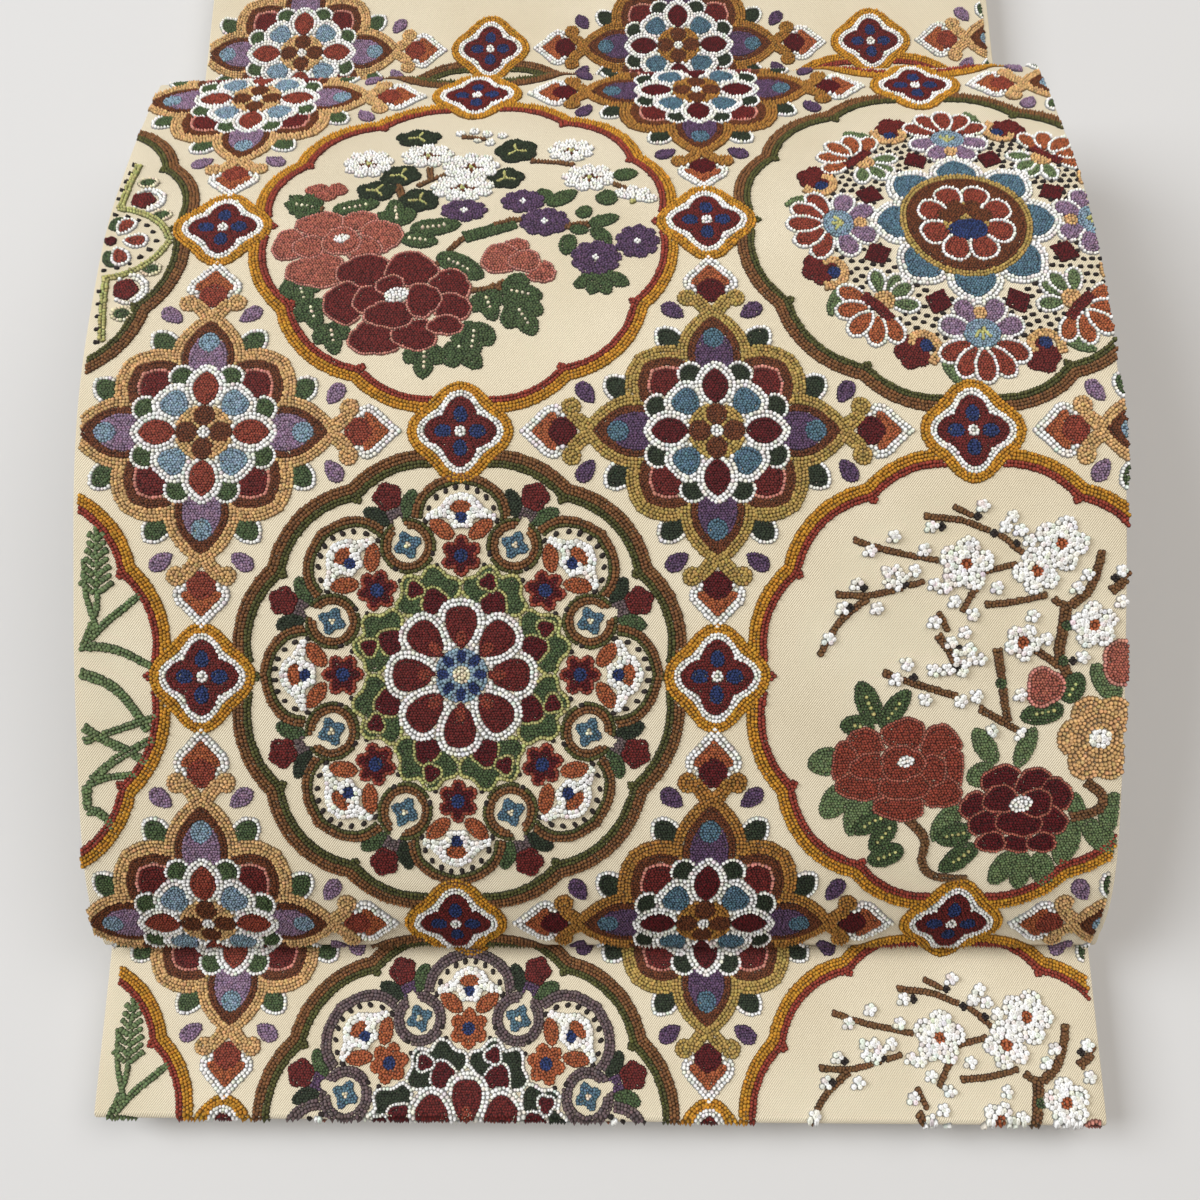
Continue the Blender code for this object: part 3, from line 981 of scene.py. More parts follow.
def plum_tree():
    """Plum branches in flower over two peonies."""
    motif = Motif()
    branches = (
        ([-15 + 47j, -5 + 46j, 1 + 44j, 8 + 41j, 14 + 36j], 1.9),
        ([-6.5 + 50j, -0.5 + 47j], 1.8),
        ([-36 + 40j, -26 + 37j, -11 + 34j], 1.9),
        ([-41 + 24j, -30 + 24j, -15 + 28j], 1.9),
        ([-32 + 23j, -40 + 16j, -46 + 6j], 2.1),
        ([3 + 31j, 12 + 33j], 1.9),
        ([0 + 26j, -4 + 19j], 1.9),
        ([3 + 21j, 12 + 22j, 21 + 24j], 1.9),
        ([-11 + 19j, -8 + 13j], 1.9),
        ([-11 + 12j, -8 + 8j, -5 + 2j], 2.4),
        ([-27 + 1j, -18 - 2j, -5 - 5.5j], 2.2),
        ([6.5 + 8j, 8 - 0.5j, 10 - 10j, 12 - 15j], 2.6),
        ([2 - 9j, 8 - 12j, 14 - 15j], 2.2),
        ([16 + 9j, 22 + 5j, 27 + 1.5j], 2.3),
        ([27 + 20j, 33 + 25j, 36 + 32j, 37 + 37j], 2.8),
        ([40 + 25j, 46 + 30j], 2.8),
        ([23 + 23j, 26 + 20j], 2.2),
        ([27 + 22j, 26 + 14j, 25 + 6.5j, 28 - 0.5j], 3.5),
    )
    for points, wide in branches:
        motif.patch(stroke(points, wide, wide * 0.85), (ALL, "bark"))
    for at in (27 + 15j, 8 - 2j, 26 + 4.5j):
        motif.patch(disc(1.6, at), "leaf")
    # the buds, each with a small one beside it, and the dark calyx of some
    for x, y in (
        (-13, 44), (2.4, 50), (11, 47), (13, 43), (16, 40), (9, 44), (-24, 41), (-31, 37), (-15, 37),
        (-26, 31), (-18, 31), (-12, 27), (-35, 27), (-29, 20), (-39, 20), (-43, 11), (-9, 26), (-6, 22),
        (-0.6, 18), (6.5, 26), (17, 18), (-12, 16), (-20, 3.5), (-23, -0.8), (-12, 1.6), (-8, 2),
        (-4, 1.8), (-14, -6.5), (-3.5, -7), (1, -5.5), (14, -5), (6, -15), (15, -16), (21, 11),
        (32, 5.5), (33, 30), (43, 31), (43, 22), (30, 26), (-7, 10), (-3, 13), (-1.6, 8), (1.4, 5),
    ):
        motif.patch(disc(1.9, x + 1j * y), (ALL, "white", BOLD))
        side = 1 if (x + y) % 2 > 1 else -1
        motif.patch(disc(0.8, x - 1.5 + 1j * side + 1j * y), (ALL, "white", BOLD))
    for x, y in (
        (-10, 44), (0.6, 47), (12, 39), (5.5, 42), (-21, 27), (-33, 26), (-37, 20), (-4.5, 8), (-5.5, 2.4),
        (-18, -0.4), (41, 29), (29, 4.5),
    ):
        motif.patch(disc(1.2, x + 1j * y), (ALL, "black"))
    for x, y, radius, turn in (
        (-2.8, 33, 8, 10), (18, 31, 7, 40), (25, 39, 8, 0), (35, 15, 7, 25), (14, 10, 5.5, 60),
        (-24, 29, 4, 0), (-3.5, 5.5, 3.5, 0),
    ):
        blossom(motif, x + 1j * y, radius, turn)
    for x, y, turn, length, width, line in (
        (-28, -13, 118, 13, 7, "lime"), (-27, -14, 52, 13, 6, "lime"), (-29, -14, 176, 10, 6, "lime"),
        (8, -24, 128, 12, 6, None), (14, -25, 66, 12, 5.5, None), (8, -26, 196, 9, 7, None),
        (27, -9, 190, 13, 6.5, "lime"), (27, -7, 60, 9, 7, "lime"), (43, -6.5, 130, 13, 7, None),
        (-37, -23, 186, 11, 8, None), (-35, -30, -132, 12, 8, None), (-30, -33, -112, 12, 8, None),
        (-23, -38, 205, 12, 6, "lime"), (-21, -40, 230, 11, 6, "lime"), (-18, -48, 200, 11, 6.5, "lime"),
        (-2.6, -36, 235, 12, 7, None), (2, -43, 190, 11, 7, "lime"), (4, -47, 215, 13, 6.5, "lime"),
        (15, -49, -120, 11, 7, None), (18, -49, -92, 11, 7, None), (22, -49, -66, 11, 7, None),
        (32, -40, -104, 13, 8, None), (35, -40, -40, 14, 7, None), (31, -32, -70, 10, 5, None),
        (44, -32, -100, 12, 7, None),
    ):
        leaf(motif, x + 1j * y, turn, length, width, line, "leaf" if line else "sage")
    motif.patch(stroke([-18 - 39j, -12 - 45j, -12 - 52j, -8 - 56j, 2 - 57j], 2.8, 2.2), (ALL, "bark"))
    motif.patch(stroke([31 - 39j, 39 - 37j, 40 - 33j, 35 - 29j], 2.8), (ALL, "bark"))
    motif.patch(lobed(5, 1.2, 3) + 21 - 3j, (1, "petal line"), "pink")
    motif.patch(lobed(6, 1.2, 3) + 44 + 4j, (1, "petal line"), "pink")
    for index in range(6):
        motif.patch(disc(5.5, 38 - 17j + 7 * towards(60 * index)), (ALL, "peach", 1.2))
    motif.patch(disc(8, 38 - 17j), (ALL, "peach", 1.2))
    motif.patch(disc(3.5, 38 - 17j, 0.8), (ALL, "white", BOLD))
    peony(motif, RUST_PEONY, "rust", "pink", -19 - 24j)
    peony(motif, WINE_PEONY, "wine", "pink", 16 - 36j, 3.5)
    return motif


def grasses():
    """Blades of autumn grass with a feathery ear, for the ring at the side edge."""
    motif = Motif()
    for points, wide, end in (
        ([41 + 9j, 48 + 16j, 58 + 24j], 2.4, 2),
        ([40 + 9j, 50 + 8j, 61 + 3j], 2.8, 2),
        ([40 + 1j, 49 - 2.5j, 55 - 8j, 60 - 15j], 3, 2.4),
        ([41 - 18j, 50 - 15j, 63 - 11j], 2.2, 2),
        ([41 - 14j, 46 - 17j, 55 - 21j, 60 - 24j], 2.6, 2.4),
        ([42 - 30j, 49 - 24j, 56 - 20j, 62 - 17j], 2.6, 2.2),
        ([42 - 30j, 48 - 28j, 57 - 27j], 2.4, 1.6),
        ([42 - 30j, 42 - 37j], 3, 2.4),
        ([42 - 37j, 46 - 38j, 50 - 42j], 2.8, 2.4),
        ([41 + 9j, 45 + 20j, 45 + 33j, 45 + 44j], 1.9, 1.3),
        ([45 + 14j, 42 + 24j, 41 + 35j], 1.7, 1.3),
    ):
        motif.patch(stroke(points, wide, end), (ALL, "sage"))
    for index in range(7):
        at = 45 + 1j * (24 + 2.7 * index)
        for side in (-1, 1):
            awn = stroke([at, at + (6 - 0.5 * index) * towards(90 - 52 * side)], 1.5)
            motif.patch(awn, (ALL, "sage"))
    return motif


# ---------------------------------------------------------------- where each motif goes

# The threads of a pointed flower: its edge, its straight and slanted petals, its points, its leaves
FLOWER_THREADS = {
    "tan": ("tan", "rust", "sky", "lilac", "leaf"),
    "old gold": ("old gold", "wine", "steel", "plum", "dark leaf"),
    "amber": ("amber", "wine", "steel", "plum", "dark leaf"),
}


# Each place is a group, a kind of motif and its threads, and a column and a row, in half steps of
# the lattice from the flower at the left of the drum's crown.


def ring_row(row, columns=(-1, 1, 3)):
    """Gold and bronze rings by turns."""
    threads = ("bronze olive", "gold brick")
    return [("rings", "ring", threads[(column + row) % 4 // 2], column, row) for column in columns]


def contact_places(*places):
    return [("rings", "contact", "", column, row) for column, row in places]


def flower_row(group, middle, row):
    across = ((0, "tan"), (2, middle), (4, "tan"))
    return [(group, "flower", threads, column, row) for column, threads in across]


DRUM_LAYOUT = (
    *ring_row(1),
    *ring_row(-1),
    *ring_row(3),
    ("rings", "ring", "bronze olive", 1, -3),
    ("rings", "ring", "gold brick", 3, -3),
    *contact_places((1, 0), (3, 0), (0, 1), (2, 1), (0, -1), (2, -1), (1, 2), (3, 2), (1, -2), (3, -2)),
    *flower_row("crown flowers", "old gold", 0),
    *flower_row("back flowers", "amber", 2),
    *flower_row("front flowers", "amber", -2),
    ("garden", "garden", "", 1, 1),
    ("garden", "plum", "", 3, -1),
    ("garden", "grass", "", -1, -1),
    ("medallions", "domed", "", 1, -1),
    ("medallions", "lotus", "", 3, 1),
    ("medallions", "star", "", -1, 1),
)
FLAP_LAYOUT = (
    *ring_row(-1),
    *contact_places((1, 0), (3, 0), (0, -1), (2, -1)),
    *flower_row("flowers", "old gold", 0),
    ("fillings", "evening", "", 1, -1),
    ("fillings", "plum", "", 3, -1),
    ("fillings", "grass", "", -1, -1),
)
UPPER_LAYOUT = (
    *ring_row(-1),
    *contact_places((1, 0), (3, 0)),
    *flower_row("flowers", "amber", 0),
)
# What one step of the design comes to on each stretch: where the lattice's first row lies, the
# part of the cloth that has knots, and the small drift of the columns. The uneven rows and the
# drift are fitted to places in the photo that a separate program turned into millimetres.
LAYOUTS = {
    "drum": {
        "layout": DRUM_LAYOUT,
        "origin": STRETCHES["drum"].where(0.146) / MM,
        "rows": ((-240, -144.8, -72.4, 0, 72.4, 144.8, 240), (-248, -150.9, -72.4, 0, 72.4, 141.0, 236)),
        "kept": (-157.0, 168.0),
        "drift": (((-144.8, -72.4, 0, 72.4, 144.8), (-1.7, 1.2, 1.2, 0.0, 0.0)), ((0, 310), (0.0, 0.0))),
    },
    "flap": {
        "layout": FLAP_LAYOUT,
        "origin": STRETCHES["flap"].where(0.0107) / MM,
        "rows": ((-200, -72.4, -50, 0, 200), (-200, -72.4, -48.8, 1.3, 201.3)),
        "kept": (-63.6, 1.0),
        "drift": (((-100, 100), (0.0, 0.0)), ((0, 40, 112, 188, 264, 310), (3.0, 2.8, 1.6, 0.0, -1.0, -1.0))),
    },
    "upper": {
        "layout": UPPER_LAYOUT,
        "origin": STRETCHES["upper"].where(0.3416) / MM,
        "rows": ((-200, 200), (-200, 200)),
        "kept": (-60.0, 60.0),
        "drift": (((-100, 100), (0.0, 0.0)), ((0, 40, 188, 310), (0.6, 0.6, -2.4, -1.8))),
    },
}
# How far a motif lies from the middle of its ring
SHIFTS = {"lotus": 5.5 - 2.0j, "domed": 0.5 + 0.5j}

MAKERS = {
    "ring": lambda threads: ring(*threads.split()),
    "contact": lambda threads: contact_flower(),
    "flower": lambda threads: lozenge_flower(*FLOWER_THREADS[threads]),
    "domed": lambda threads: domed_medallion("bronze", "olive", "rust", "lime", "smoke"),
    "evening": lambda threads: domed_medallion("smoke", "smoke", "orange", "white", "plum"),
    "lotus": lambda threads: lotus_medallion(),
    "star": lambda threads: star_medallion(),
    "garden": lambda threads: garden(),
    "plum": lambda threads: plum_tree(),
    "grass": lambda threads: grasses(),
}
MADE = {}  # motifs whose knots have been worked out


def motif_knots(kind, threads):
    """A motif's knots; a motif that comes again isn't worked out again."""
    if (kind, threads) not in MADE:
        MADE[kind, threads] = MAKERS[kind](threads).knots()
    return MADE[kind, threads]


def group_knots(stretch_name, group):
    """The knots of one group of motifs on one stretch: across, along, thread and pitch."""
    plan = LAYOUTS[stretch_name]
    found = []
    for part, kind, way, column, row in plan["layout"]:
        if part != group:
            continue
        places, threads, pitches = motif_knots(kind, way)
        places = places + SHIFTS.get(kind, 0)
        places = places + FIRST_COLUMN + COLUMN * column + 1j * ROW * row
        shown = (places.real > SIDE_MARGIN) & (places.real < WIDTH_MM - SIDE_MARGIN)
        shown &= (places.imag > plan["kept"][0]) & (places.imag < plan["kept"][1])
        found.append((places.real[shown], places.imag[shown], threads[shown], pitches[shown]))
    across, along, threads, pitches = (np.concatenate(part) for part in zip(*found))
    drift = np.interp(along, *plan["drift"][0]) + np.interp(across, *plan["drift"][1])
    at = plan["origin"] + np.interp(along, *plan["rows"])
    return (across + drift - WIDTH_MM / 2) * MM, at * MM, threads, pitches * MM


# ---------------------------------------------------------------- meshes


def new_object(name, vertices, faces, material, smooth_faces=True):
    """A mesh object from arrays; faces is an array of quads or of triangles."""
    mesh = bpy.data.meshes.new(name)
    count, sides = faces.shape
    mesh.vertices.add(len(vertices))
    mesh.vertices.foreach_set("co", np.asarray(vertices, np.float32).ravel())
    mesh.loops.add(count * sides)
    mesh.loops.foreach_set("vertex_index", faces.astype(np.int32).ravel())
    mesh.polygons.add(count)
    mesh.polygons.foreach_set("loop_start", np.arange(0, count * sides, sides, dtype=np.int32))
    mesh.polygons.foreach_set("loop_total", np.full(count, sides, np.int32))
    mesh.update(calc_edges=True)
    mesh.validate()
    mesh.polygons.foreach_set("use_smooth", np.full(count, smooth_faces))
    mesh.materials.append(material)
    item = bpy.data.objects.new(name, mesh)
    bpy.context.scene.collection.objects.link(item)
    return item


def set_uv(item, uv):
    """Cloth coordinates, one pair for each vertex, as the piece's map."""
    mesh = item.data
    layer = mesh.uv_layers.new(name="OFBake")
    index = np.zeros(len(mesh.loops), np.int32)
    mesh.loops.foreach_get("vertex_index", index)
    layer.data.foreach_set("uv", uv[index].astype(np.float32).ravel())


BEND_STEP = math.radians(7)  # the most that the cloth turns between two rows


def cloth_rows(stretch, step):
    """Places along a stretch: close together where it bends, and step apart where it is flat."""
    fine = np.unique(np.concatenate([np.arange(0.0, stretch.length, step / 4), stretch.along]))
    heading = np.interp(fine, stretch.along, stretch.heading)
    rows = [0]
    for index in range(1, len(fine) - 1):
        far = fine[index] - fine[rows[-1]] > step
        bent = abs(heading[index] - heading[rows[-1]]) > BEND_STEP
        if far or bent:
            rows.append(index)
    return fine[rows + [len(fine) - 1]]


def cloth_loft(name, stretch, half_width, top, under, material, columns=64, step=0.0032):
    """A thin cloth: a flat ring of points across the width, carried along the stretch.

    Its two ends are capped, but for a sliver at the tip of each rounded side edge.
    """
    along = cloth_rows(stretch, step)
    half = (top - under) / 2
    middle = (top + under) / 2
    flat = np.linspace(-half_width + half, half_width - half, columns)
    bends = np.radians([60, 30, 0, -30, -60])
    out, up = half * np.cos(bends), half * np.sin(bends)
    ring_x = np.concatenate([flat, flat[-1] + out, flat[::-1], flat[0] - out])
    ring_lift = np.concatenate([np.full(columns, half), up, np.full(columns, -half), -up]) + middle
    size = len(ring_x)
    x = np.tile(ring_x, len(along))
    at = np.repeat(along, size)
    vertices = stretch.place(x, at, np.tile(ring_lift, len(along)))
    grid = np.arange(len(along) * size).reshape(len(along), size)
    a, b = grid[:-1], np.roll(grid, -1, axis=1)[:-1]
    c, d = np.roll(grid, -1, axis=1)[1:], grid[1:]
    faces = np.stack([a, b, c, d], axis=-1).reshape(-1, 4)
    for row, turned in ((grid[0], 1), (grid[-1], -1)):  # the two ends
        top_row = row[:columns]
        bottom_row = row[columns + 5 : 2 * columns + 5][::-1]
        quads = [np.stack([top_row[:-1], top_row[1:], bottom_row[1:], bottom_row[:-1]], axis=-1)]
        right = [top_row[-1], *row[columns : columns + 5], bottom_row[-1]]
        left = [bottom_row[0], *row[2 * columns + 5 :], top_row[0]]
        for a, b, c, _, d, e, f in (right, left):
            quads.append(np.array([[a, b, e, f], [b, c, d, e]]))
        faces = np.concatenate([faces, np.concatenate(quads)[:, ::turned]])
    item = new_object(name, vertices, faces[:, ::-1], material)
    longest = max(OBI_WIDTH, stretch.length)
    set_uv(item, np.stack([(x + OBI_WIDTH / 2) / longest, at / longest], axis=-1))
    return item


# What a knot is: sides, its rings of points from the twill up as (radius, height, nearness), and
# its middle as (height, nearness). Nearness is 1 at the middle and 0 one pitch away, and it is kept in
# the colour's alpha as painted shade: a lower one is painted darker, which puts painted shade on the
# knots' feet, in the gaps between knots and in the sunk middle of a bold loop. The fine knots come
# first, then the regular ones, and then the bold ones, which are loops with a sunk middle.
KNOT_FORMS = (
    (4, ((1.00, -0.06, 0.00),), (0.90, 1.00)),
    (6, ((0.80, -0.06, 0.20),), (1.05, 1.00)),
    (6, ((0.74, -0.06, 0.26), (0.42, 0.95, 0.85)), (0.60, 0.52)),
)
FORM_LIMITS = (0.99 * MM, 1.22 * MM)  # the pitches at which the next form begins
KNOT_LEAN = 0.14  # how far a knot's middle leans over, as a share of its reach
KNOT_JITTER = 0.09  # how far a knot lies from its place, as a share of its reach
THREAD_GAIN = 1.10  # makes up for the painted shade at the knots' feet
SHADE_SPREAD = 0.04  # how much the knots of one thread differ in hue


def knot_faces(sides, levels):
    """The triangles of one knot: its rings of points from the lowest up, then its middle."""
    now = np.arange(sides)
    after = (now + 1) % sides
    faces = []
    for low in range(0, (levels - 1) * sides, sides):
        up = low + sides
        faces.append(np.stack([low + now, low + after, up + after], axis=-1))
        faces.append(np.stack([low + now, up + after, up + now], axis=-1))
    last = (levels - 1) * sides
    faces.append(np.stack([last + now, last + after, np.full(sides, levels * sides)], axis=-1))
    return np.concatenate(faces)


def knot_mesh(name, stretch, knots, material, seed):
    """One mesh with a small dome or loop for each knot."""
    settings = bpy.context.scene.obi_knots
    random = np.random.default_rng(seed)
    uneven = settings.unevenness
    palette = np.array([linear(THREADS[thread]) for thread in THREAD_NAMES])
    vertices, faces, colours, flat, total = [], [], [], [], 0
    x, along, threads, pitches = knots
    for number, (sides, rings, (top, top_shade)) in enumerate(KNOT_FORMS):
        chosen = np.digitize(pitches, FORM_LIMITS) == number
        count = int(chosen.sum())
        if not count:
            continue
        size = 1 + uneven * 0.5 * random.standard_normal(count).clip(-2, 2)
        reach = pitches[chosen] * size
        turned = random.uniform(0, math.pi, count)
        lean = KNOT_LEAN * reach[:, None] * random.standard_normal((count, 2)).clip(-1.5, 1.5)
        middle = np.stack([x[chosen], along[chosen]], axis=-1)
        middle = middle + KNOT_JITTER * reach[:, None] * random.uniform(-1, 1, (count, 2))
        high = settings.height * size * np.sqrt(reach / (REGULAR * MM))
        angle = turned[:, None] + np.arange(sides) * 2 * math.pi / sides
        circle = np.stack([np.cos(angle), np.sin(angle)], axis=-1)
        points = []
        for radius, height, _ in rings:
            ring_points = radius * reach[:, None, None] * circle
            points.append(middle[:, None] + ring_points + lean[:, None] * max(0.0, height))
        points = np.concatenate([*points, (middle + lean)[:, None]], axis=1)
        heights = np.append(np.repeat([height for _, height, _ in rings], sides), top)
        each = len(heights)
        flat.append(points.reshape(-1, 2))
        lifts = heights * high[:, None] + TWILL_TOP
        vertices.append(stretch.place(flat[-1][:, 0], flat[-1][:, 1], lifts.ravel()))
        first = total + each * np.arange(count)
        faces.append((first[:, None, None] + knot_faces(sides, len(rings))).reshape(-1, 3))
        tone = THREAD_GAIN * np.exp(uneven * random.standard_normal(count).clip(-2, 2))
        warmth = 1 + SHADE_SPREAD * random.standard_normal((count, 3))
        colour = np.empty((count, each, 4))
        colour[:, :, :3] = (palette[threads[chosen]] * tone[:, None] * warmth)[:, None]
        # the alpha holds each point's painted shade, darkest at the knot's foot
        colour[:, :, 3] = np.append(np.repeat([shade for _, _, shade in rings], sides), top_shade)
        colours.append(colour.reshape(-1, 4))
        total += count * each
    item = new_object(name, np.concatenate(vertices), np.concatenate(faces), material)
    rgba = np.concatenate(colours).clip(0, 1).astype(np.float32)
    layer = item.data.color_attributes.new("thread", "FLOAT_COLOR", "POINT")
    layer.data.foreach_set("color", rgba.ravel())
    uv = np.concatenate(flat) - (-OBI_WIDTH / 2, float(along.min()) - 0.001)
    set_uv(item, uv / max(OBI_WIDTH, float(np.ptp(along)) + 0.002))
    return item


# ---------------------------------------------------------------- materials


def new_material(name):
    material = bpy.data.materials.new(name)
    material.use_nodes = True
    return material, material.node_tree.nodes, material.node_tree.links


def add_node(nodes, kind, **values):
    """A new node, with its own settings and the values of its inputs by name."""
    node = nodes.new("ShaderNode" + kind)
    for name, value in values.items():
        if hasattr(node, name):
            setattr(node, name, value)
        else:
            node.inputs[name.replace("_", " ").title()].default_value = value
    return node


def thread_material():
    """Twisted silk thread: its colour is the knot's own, with painted shade from the colour's alpha at the
    knots' feet and between them, and fine strands across it.
    """
    material, nodes, links = new_material("knotted thread")
    shader = nodes["Principled BSDF"]
    shader.inputs["Roughness"].default_value = 0.60
    shader.inputs["Specular IOR Level"].default_value = 0.25
    shader.inputs["Sheen Weight"].default_value = 0.03
    colour = add_node(nodes, "VertexColor", layer_name="thread")
    place = add_node(nodes, "TexCoord")
    strands = add_node(nodes, "TexNoise", scale=2600.0, detail=2.0)
    tone = add_node(nodes, "MapRange", from_min=0.3, from_max=0.7, to_min=0.80, to_max=1.14)
    # painted shade: the alpha darkens the knots' feet, the gaps between them and the bold loops' sunk middles
    gap_shade = add_node(nodes, "MapRange", from_min=0.42, from_max=0.70, to_min=0.26, to_max=1.0)
    shade = add_node(nodes, "Math", operation="MULTIPLY")
    mix = add_node(nodes, "VectorMath", operation="MULTIPLY")
    bump = add_node(nodes, "Bump", strength=0.5, distance=0.0002)
    for source, target in (
        (place.outputs["Object"], strands.inputs["Vector"]),
        (strands.outputs["Fac"], tone.inputs["Value"]),
        (colour.outputs["Alpha"], gap_shade.inputs["Value"]),
        (tone.outputs["Result"], shade.inputs[0]),
        (gap_shade.outputs["Result"], shade.inputs[1]),
        (colour.outputs["Color"], mix.inputs[0]),
        (shade.outputs[0], mix.inputs[1]),
        (mix.outputs["Vector"], shader.inputs["Base Color"]),
        (strands.outputs["Fac"], bump.inputs["Height"]),
        (bump.outputs["Normal"], shader.inputs["Normal"]),
    ):
        links.new(source, target)
    return material


def twill_material(name, colour, cloth_size, ribs=1.0):
    """Silk twill: fine ribs on the slant, with painted shade in their grooves and a slight painted highlight
    on their crests, a slight mottle, and a soft sheen.
    """
    material, nodes, links = new_material(name)
    shader = nodes["Principled BSDF"]
    shader.inputs["Roughness"].default_value = 0.58
    shader.inputs["Specular IOR Level"].default_value = 0.35
    shader.inputs["Sheen Weight"].default_value = 0.18
    turns = 2 * math.pi * cloth_size / bpy.context.scene.obi_cloth.twill_pitch
    uv = add_node(nodes, "UVMap", uv_map="OFBake")
    slant = add_node(nodes, "VectorMath", operation="DOT_PRODUCT")
    slant.inputs[1].default_value = (0.80 * turns, -0.60 * turns, 0.0)
    weft = add_node(nodes, "VectorMath", operation="DOT_PRODUCT")
    weft.inputs[1].default_value = (0.0, 0.71 * turns, 0.0)
    wave = add_node(nodes, "Math", operation="SINE")
    weft_wave = add_node(nodes, "Math", operation="SINE")
    both = add_node(nodes, "Math", operation="MULTIPLY_ADD")
    both.inputs[1].default_value = 0.12  # the weft's share
    slub = add_node(nodes, "TexNoise", scale=9.0, detail=5.0)
    tone = add_node(nodes, "ValToRGB")
    shaded = np.array(colour) * (0.90, 0.88, 0.84)
    for element, at, rgb in zip(tone.color_ramp.elements, (0.30, 0.70), (shaded, colour)):
        element.position = at
        element.color = (*rgb, 1.0)
    # painted shade in the ribs' grooves and a painted highlight on their crests, following the same wave as
    # the bump
    rib_light_and_shade = add_node(
        nodes, "MapRange", from_min=-1.4, from_max=1.4, to_min=1.0 - 0.34 * ribs, to_max=1.0 + 0.10 * ribs,
    )
    tint = add_node(nodes, "VectorMath", operation="MULTIPLY")
    bump = add_node(nodes, "Bump", strength=0.75 * ribs, distance=0.00012)
    for source, target in (
        (uv.outputs["UV"], slant.inputs[0]),
        (uv.outputs["UV"], weft.inputs[0]),
        (uv.outputs["UV"], slub.inputs["Vector"]),
        (slant.outputs["Value"], wave.inputs[0]),
        (weft.outputs["Value"], weft_wave.inputs[0]),
        (weft_wave.outputs[0], both.inputs[0]),
        (wave.outputs[0], both.inputs[2]),
        (slub.outputs["Fac"], tone.inputs["Fac"]),
        (both.outputs[0], rib_light_and_shade.inputs["Value"]),
        (tone.outputs["Color"], tint.inputs[0]),
        (rib_light_and_shade.outputs["Result"], tint.inputs[1]),
        (tint.outputs["Vector"], shader.inputs["Base Color"]),
        (both.outputs[0], bump.inputs["Height"]),
        (bump.outputs["Normal"], shader.inputs["Normal"]),
    ):
        links.new(source, target)
    return material


# ---------------------------------------------------------------- operators

LINING_INSET = 0.0015  # how far the lining's side edge lies in from the sash's
LAYER_INSET = 0.0018
LAYER_HALF = 0.00064  # half the thickness of one folded layer
LAYER_SETBACK = 0.0052  # of the middle of a layer's fold from the outer folds
LAYER_UNEVEN = 0.0009
TABLE_HALF = 3.0
SKYLIGHT_SHARE = 0.285  # of the window's strength


class MakeFaceCloth(bpy.types.Operator):
    """Lay the figured face cloth through the folds of the flap, the drum and the upper stretch"""

    bl_idname = "obi.face_cloth"
    bl_label = "Face cloth"

    def execute(self, context):
        ground = tuple(context.scene.obi_cloth.ground)
        for name, stretch in STRETCHES.items():
            material = twill_material(name + " twill", ground, max(OBI_WIDTH, stretch.length))
            cloth = cloth_loft(name + "_face_cloth", stretch, OBI_WIDTH / 2, TWILL_TOP, TWILL_UNDER, material)
            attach(cloth, "root")
            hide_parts(name + "_face")
        return {"FINISHED"}


class MakeLining(bpy.types.Operator):
    """Lay the plain lining behind the face cloth"""

    bl_idname = "obi.lining"
    bl_label = "Lining"

    def execute(self, context):
        plain = tuple(context.scene.obi_cloth.lining)
        half = OBI_WIDTH / 2 - LINING_INSET
        for name, stretch in STRETCHES.items():
            material = twill_material(name + " lining silk", plain, max(OBI_WIDTH, stretch.length), ribs=0.6)
            cloth = cloth_loft(
                name + "_lining_cloth", stretch, half, LINING_TOP, LINING_UNDER, material, columns=48
            )
            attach(cloth, "root")
            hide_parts(name + "_lining")
        return {"FINISHED"}


class MakeFoldedLayers(bpy.types.Operator):
    """Fold the rest of the sash to and fro under the part that shows"""

    bl_idname = "obi.folded_layers"
    bl_label = "Folded layers"

    def execute(self, context):
        radius = LAYER_PITCH / 2
        rows = [(REAR_FOLD - LAYER_SETBACK, radius, 180)]
        for layer in range(STACK_LAYERS):
            height = (layer + 0.5) * LAYER_PITCH
            uneven = LAYER_UNEVEN * math.sin(2.4 * layer)
            if layer % 2 == 0:
                end, heading, bend = -FLAP_SHOWN + LAYER_SETBACK + uneven, 180, -1
            else:
                end, heading, bend = REAR_FOLD - LAYER_SETBACK - uneven, 0, 1
            if layer < STACK_LAYERS - 1:
                rows += turn_back(end, height, radius, heading, bend)
            else:
                rows.append((end, height, heading))
        stretch = Stretch(rows, from_face=0.0, base=0.0, wavy=False)
        ground = tuple(context.scene.obi_cloth.ground)
        material = twill_material("layer silk", ground, max(OBI_WIDTH, stretch.length))
        half = OBI_WIDTH / 2 - LAYER_INSET
        cloth = cloth_loft(
            "folded_layer_cloth", stretch, half, LAYER_HALF, -LAYER_HALF, material, columns=24, step=0.012
        )
        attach(cloth, "root")
        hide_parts("folded_layers")
        return {"FINISHED"}


def lay_knots(group, pieces):
    """Makes the named knot pieces: (piece name, stretch, group on it)."""
    material = bpy.data.materials.get("knotted thread") or thread_material()
    for number, (name, stretch_name, part) in enumerate(pieces):
        knots = group_knots(stretch_name, part)
        item = knot_mesh(name, STRETCHES[stretch_name], knots, material, seed=group * 10 + number)
        print(name, len(knots[0]), "knots", len(item.data.polygons), "triangles")
        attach(item, "root")


class MakeRingKnots(bpy.types.Operator):
    """Knot the big scalloped rings and the small flowers where they meet"""

    bl_idname = "obi.ring_knots"
    bl_label = "Rings"

    def execute(self, context):
        lay_knots(1, (
            ("drum_ring_knots", "drum", "rings"),
            ("flap_ring_knots", "flap", "rings"),
            ("upper_ring_knots", "upper", "rings"),
        ))
        return {"FINISHED"}


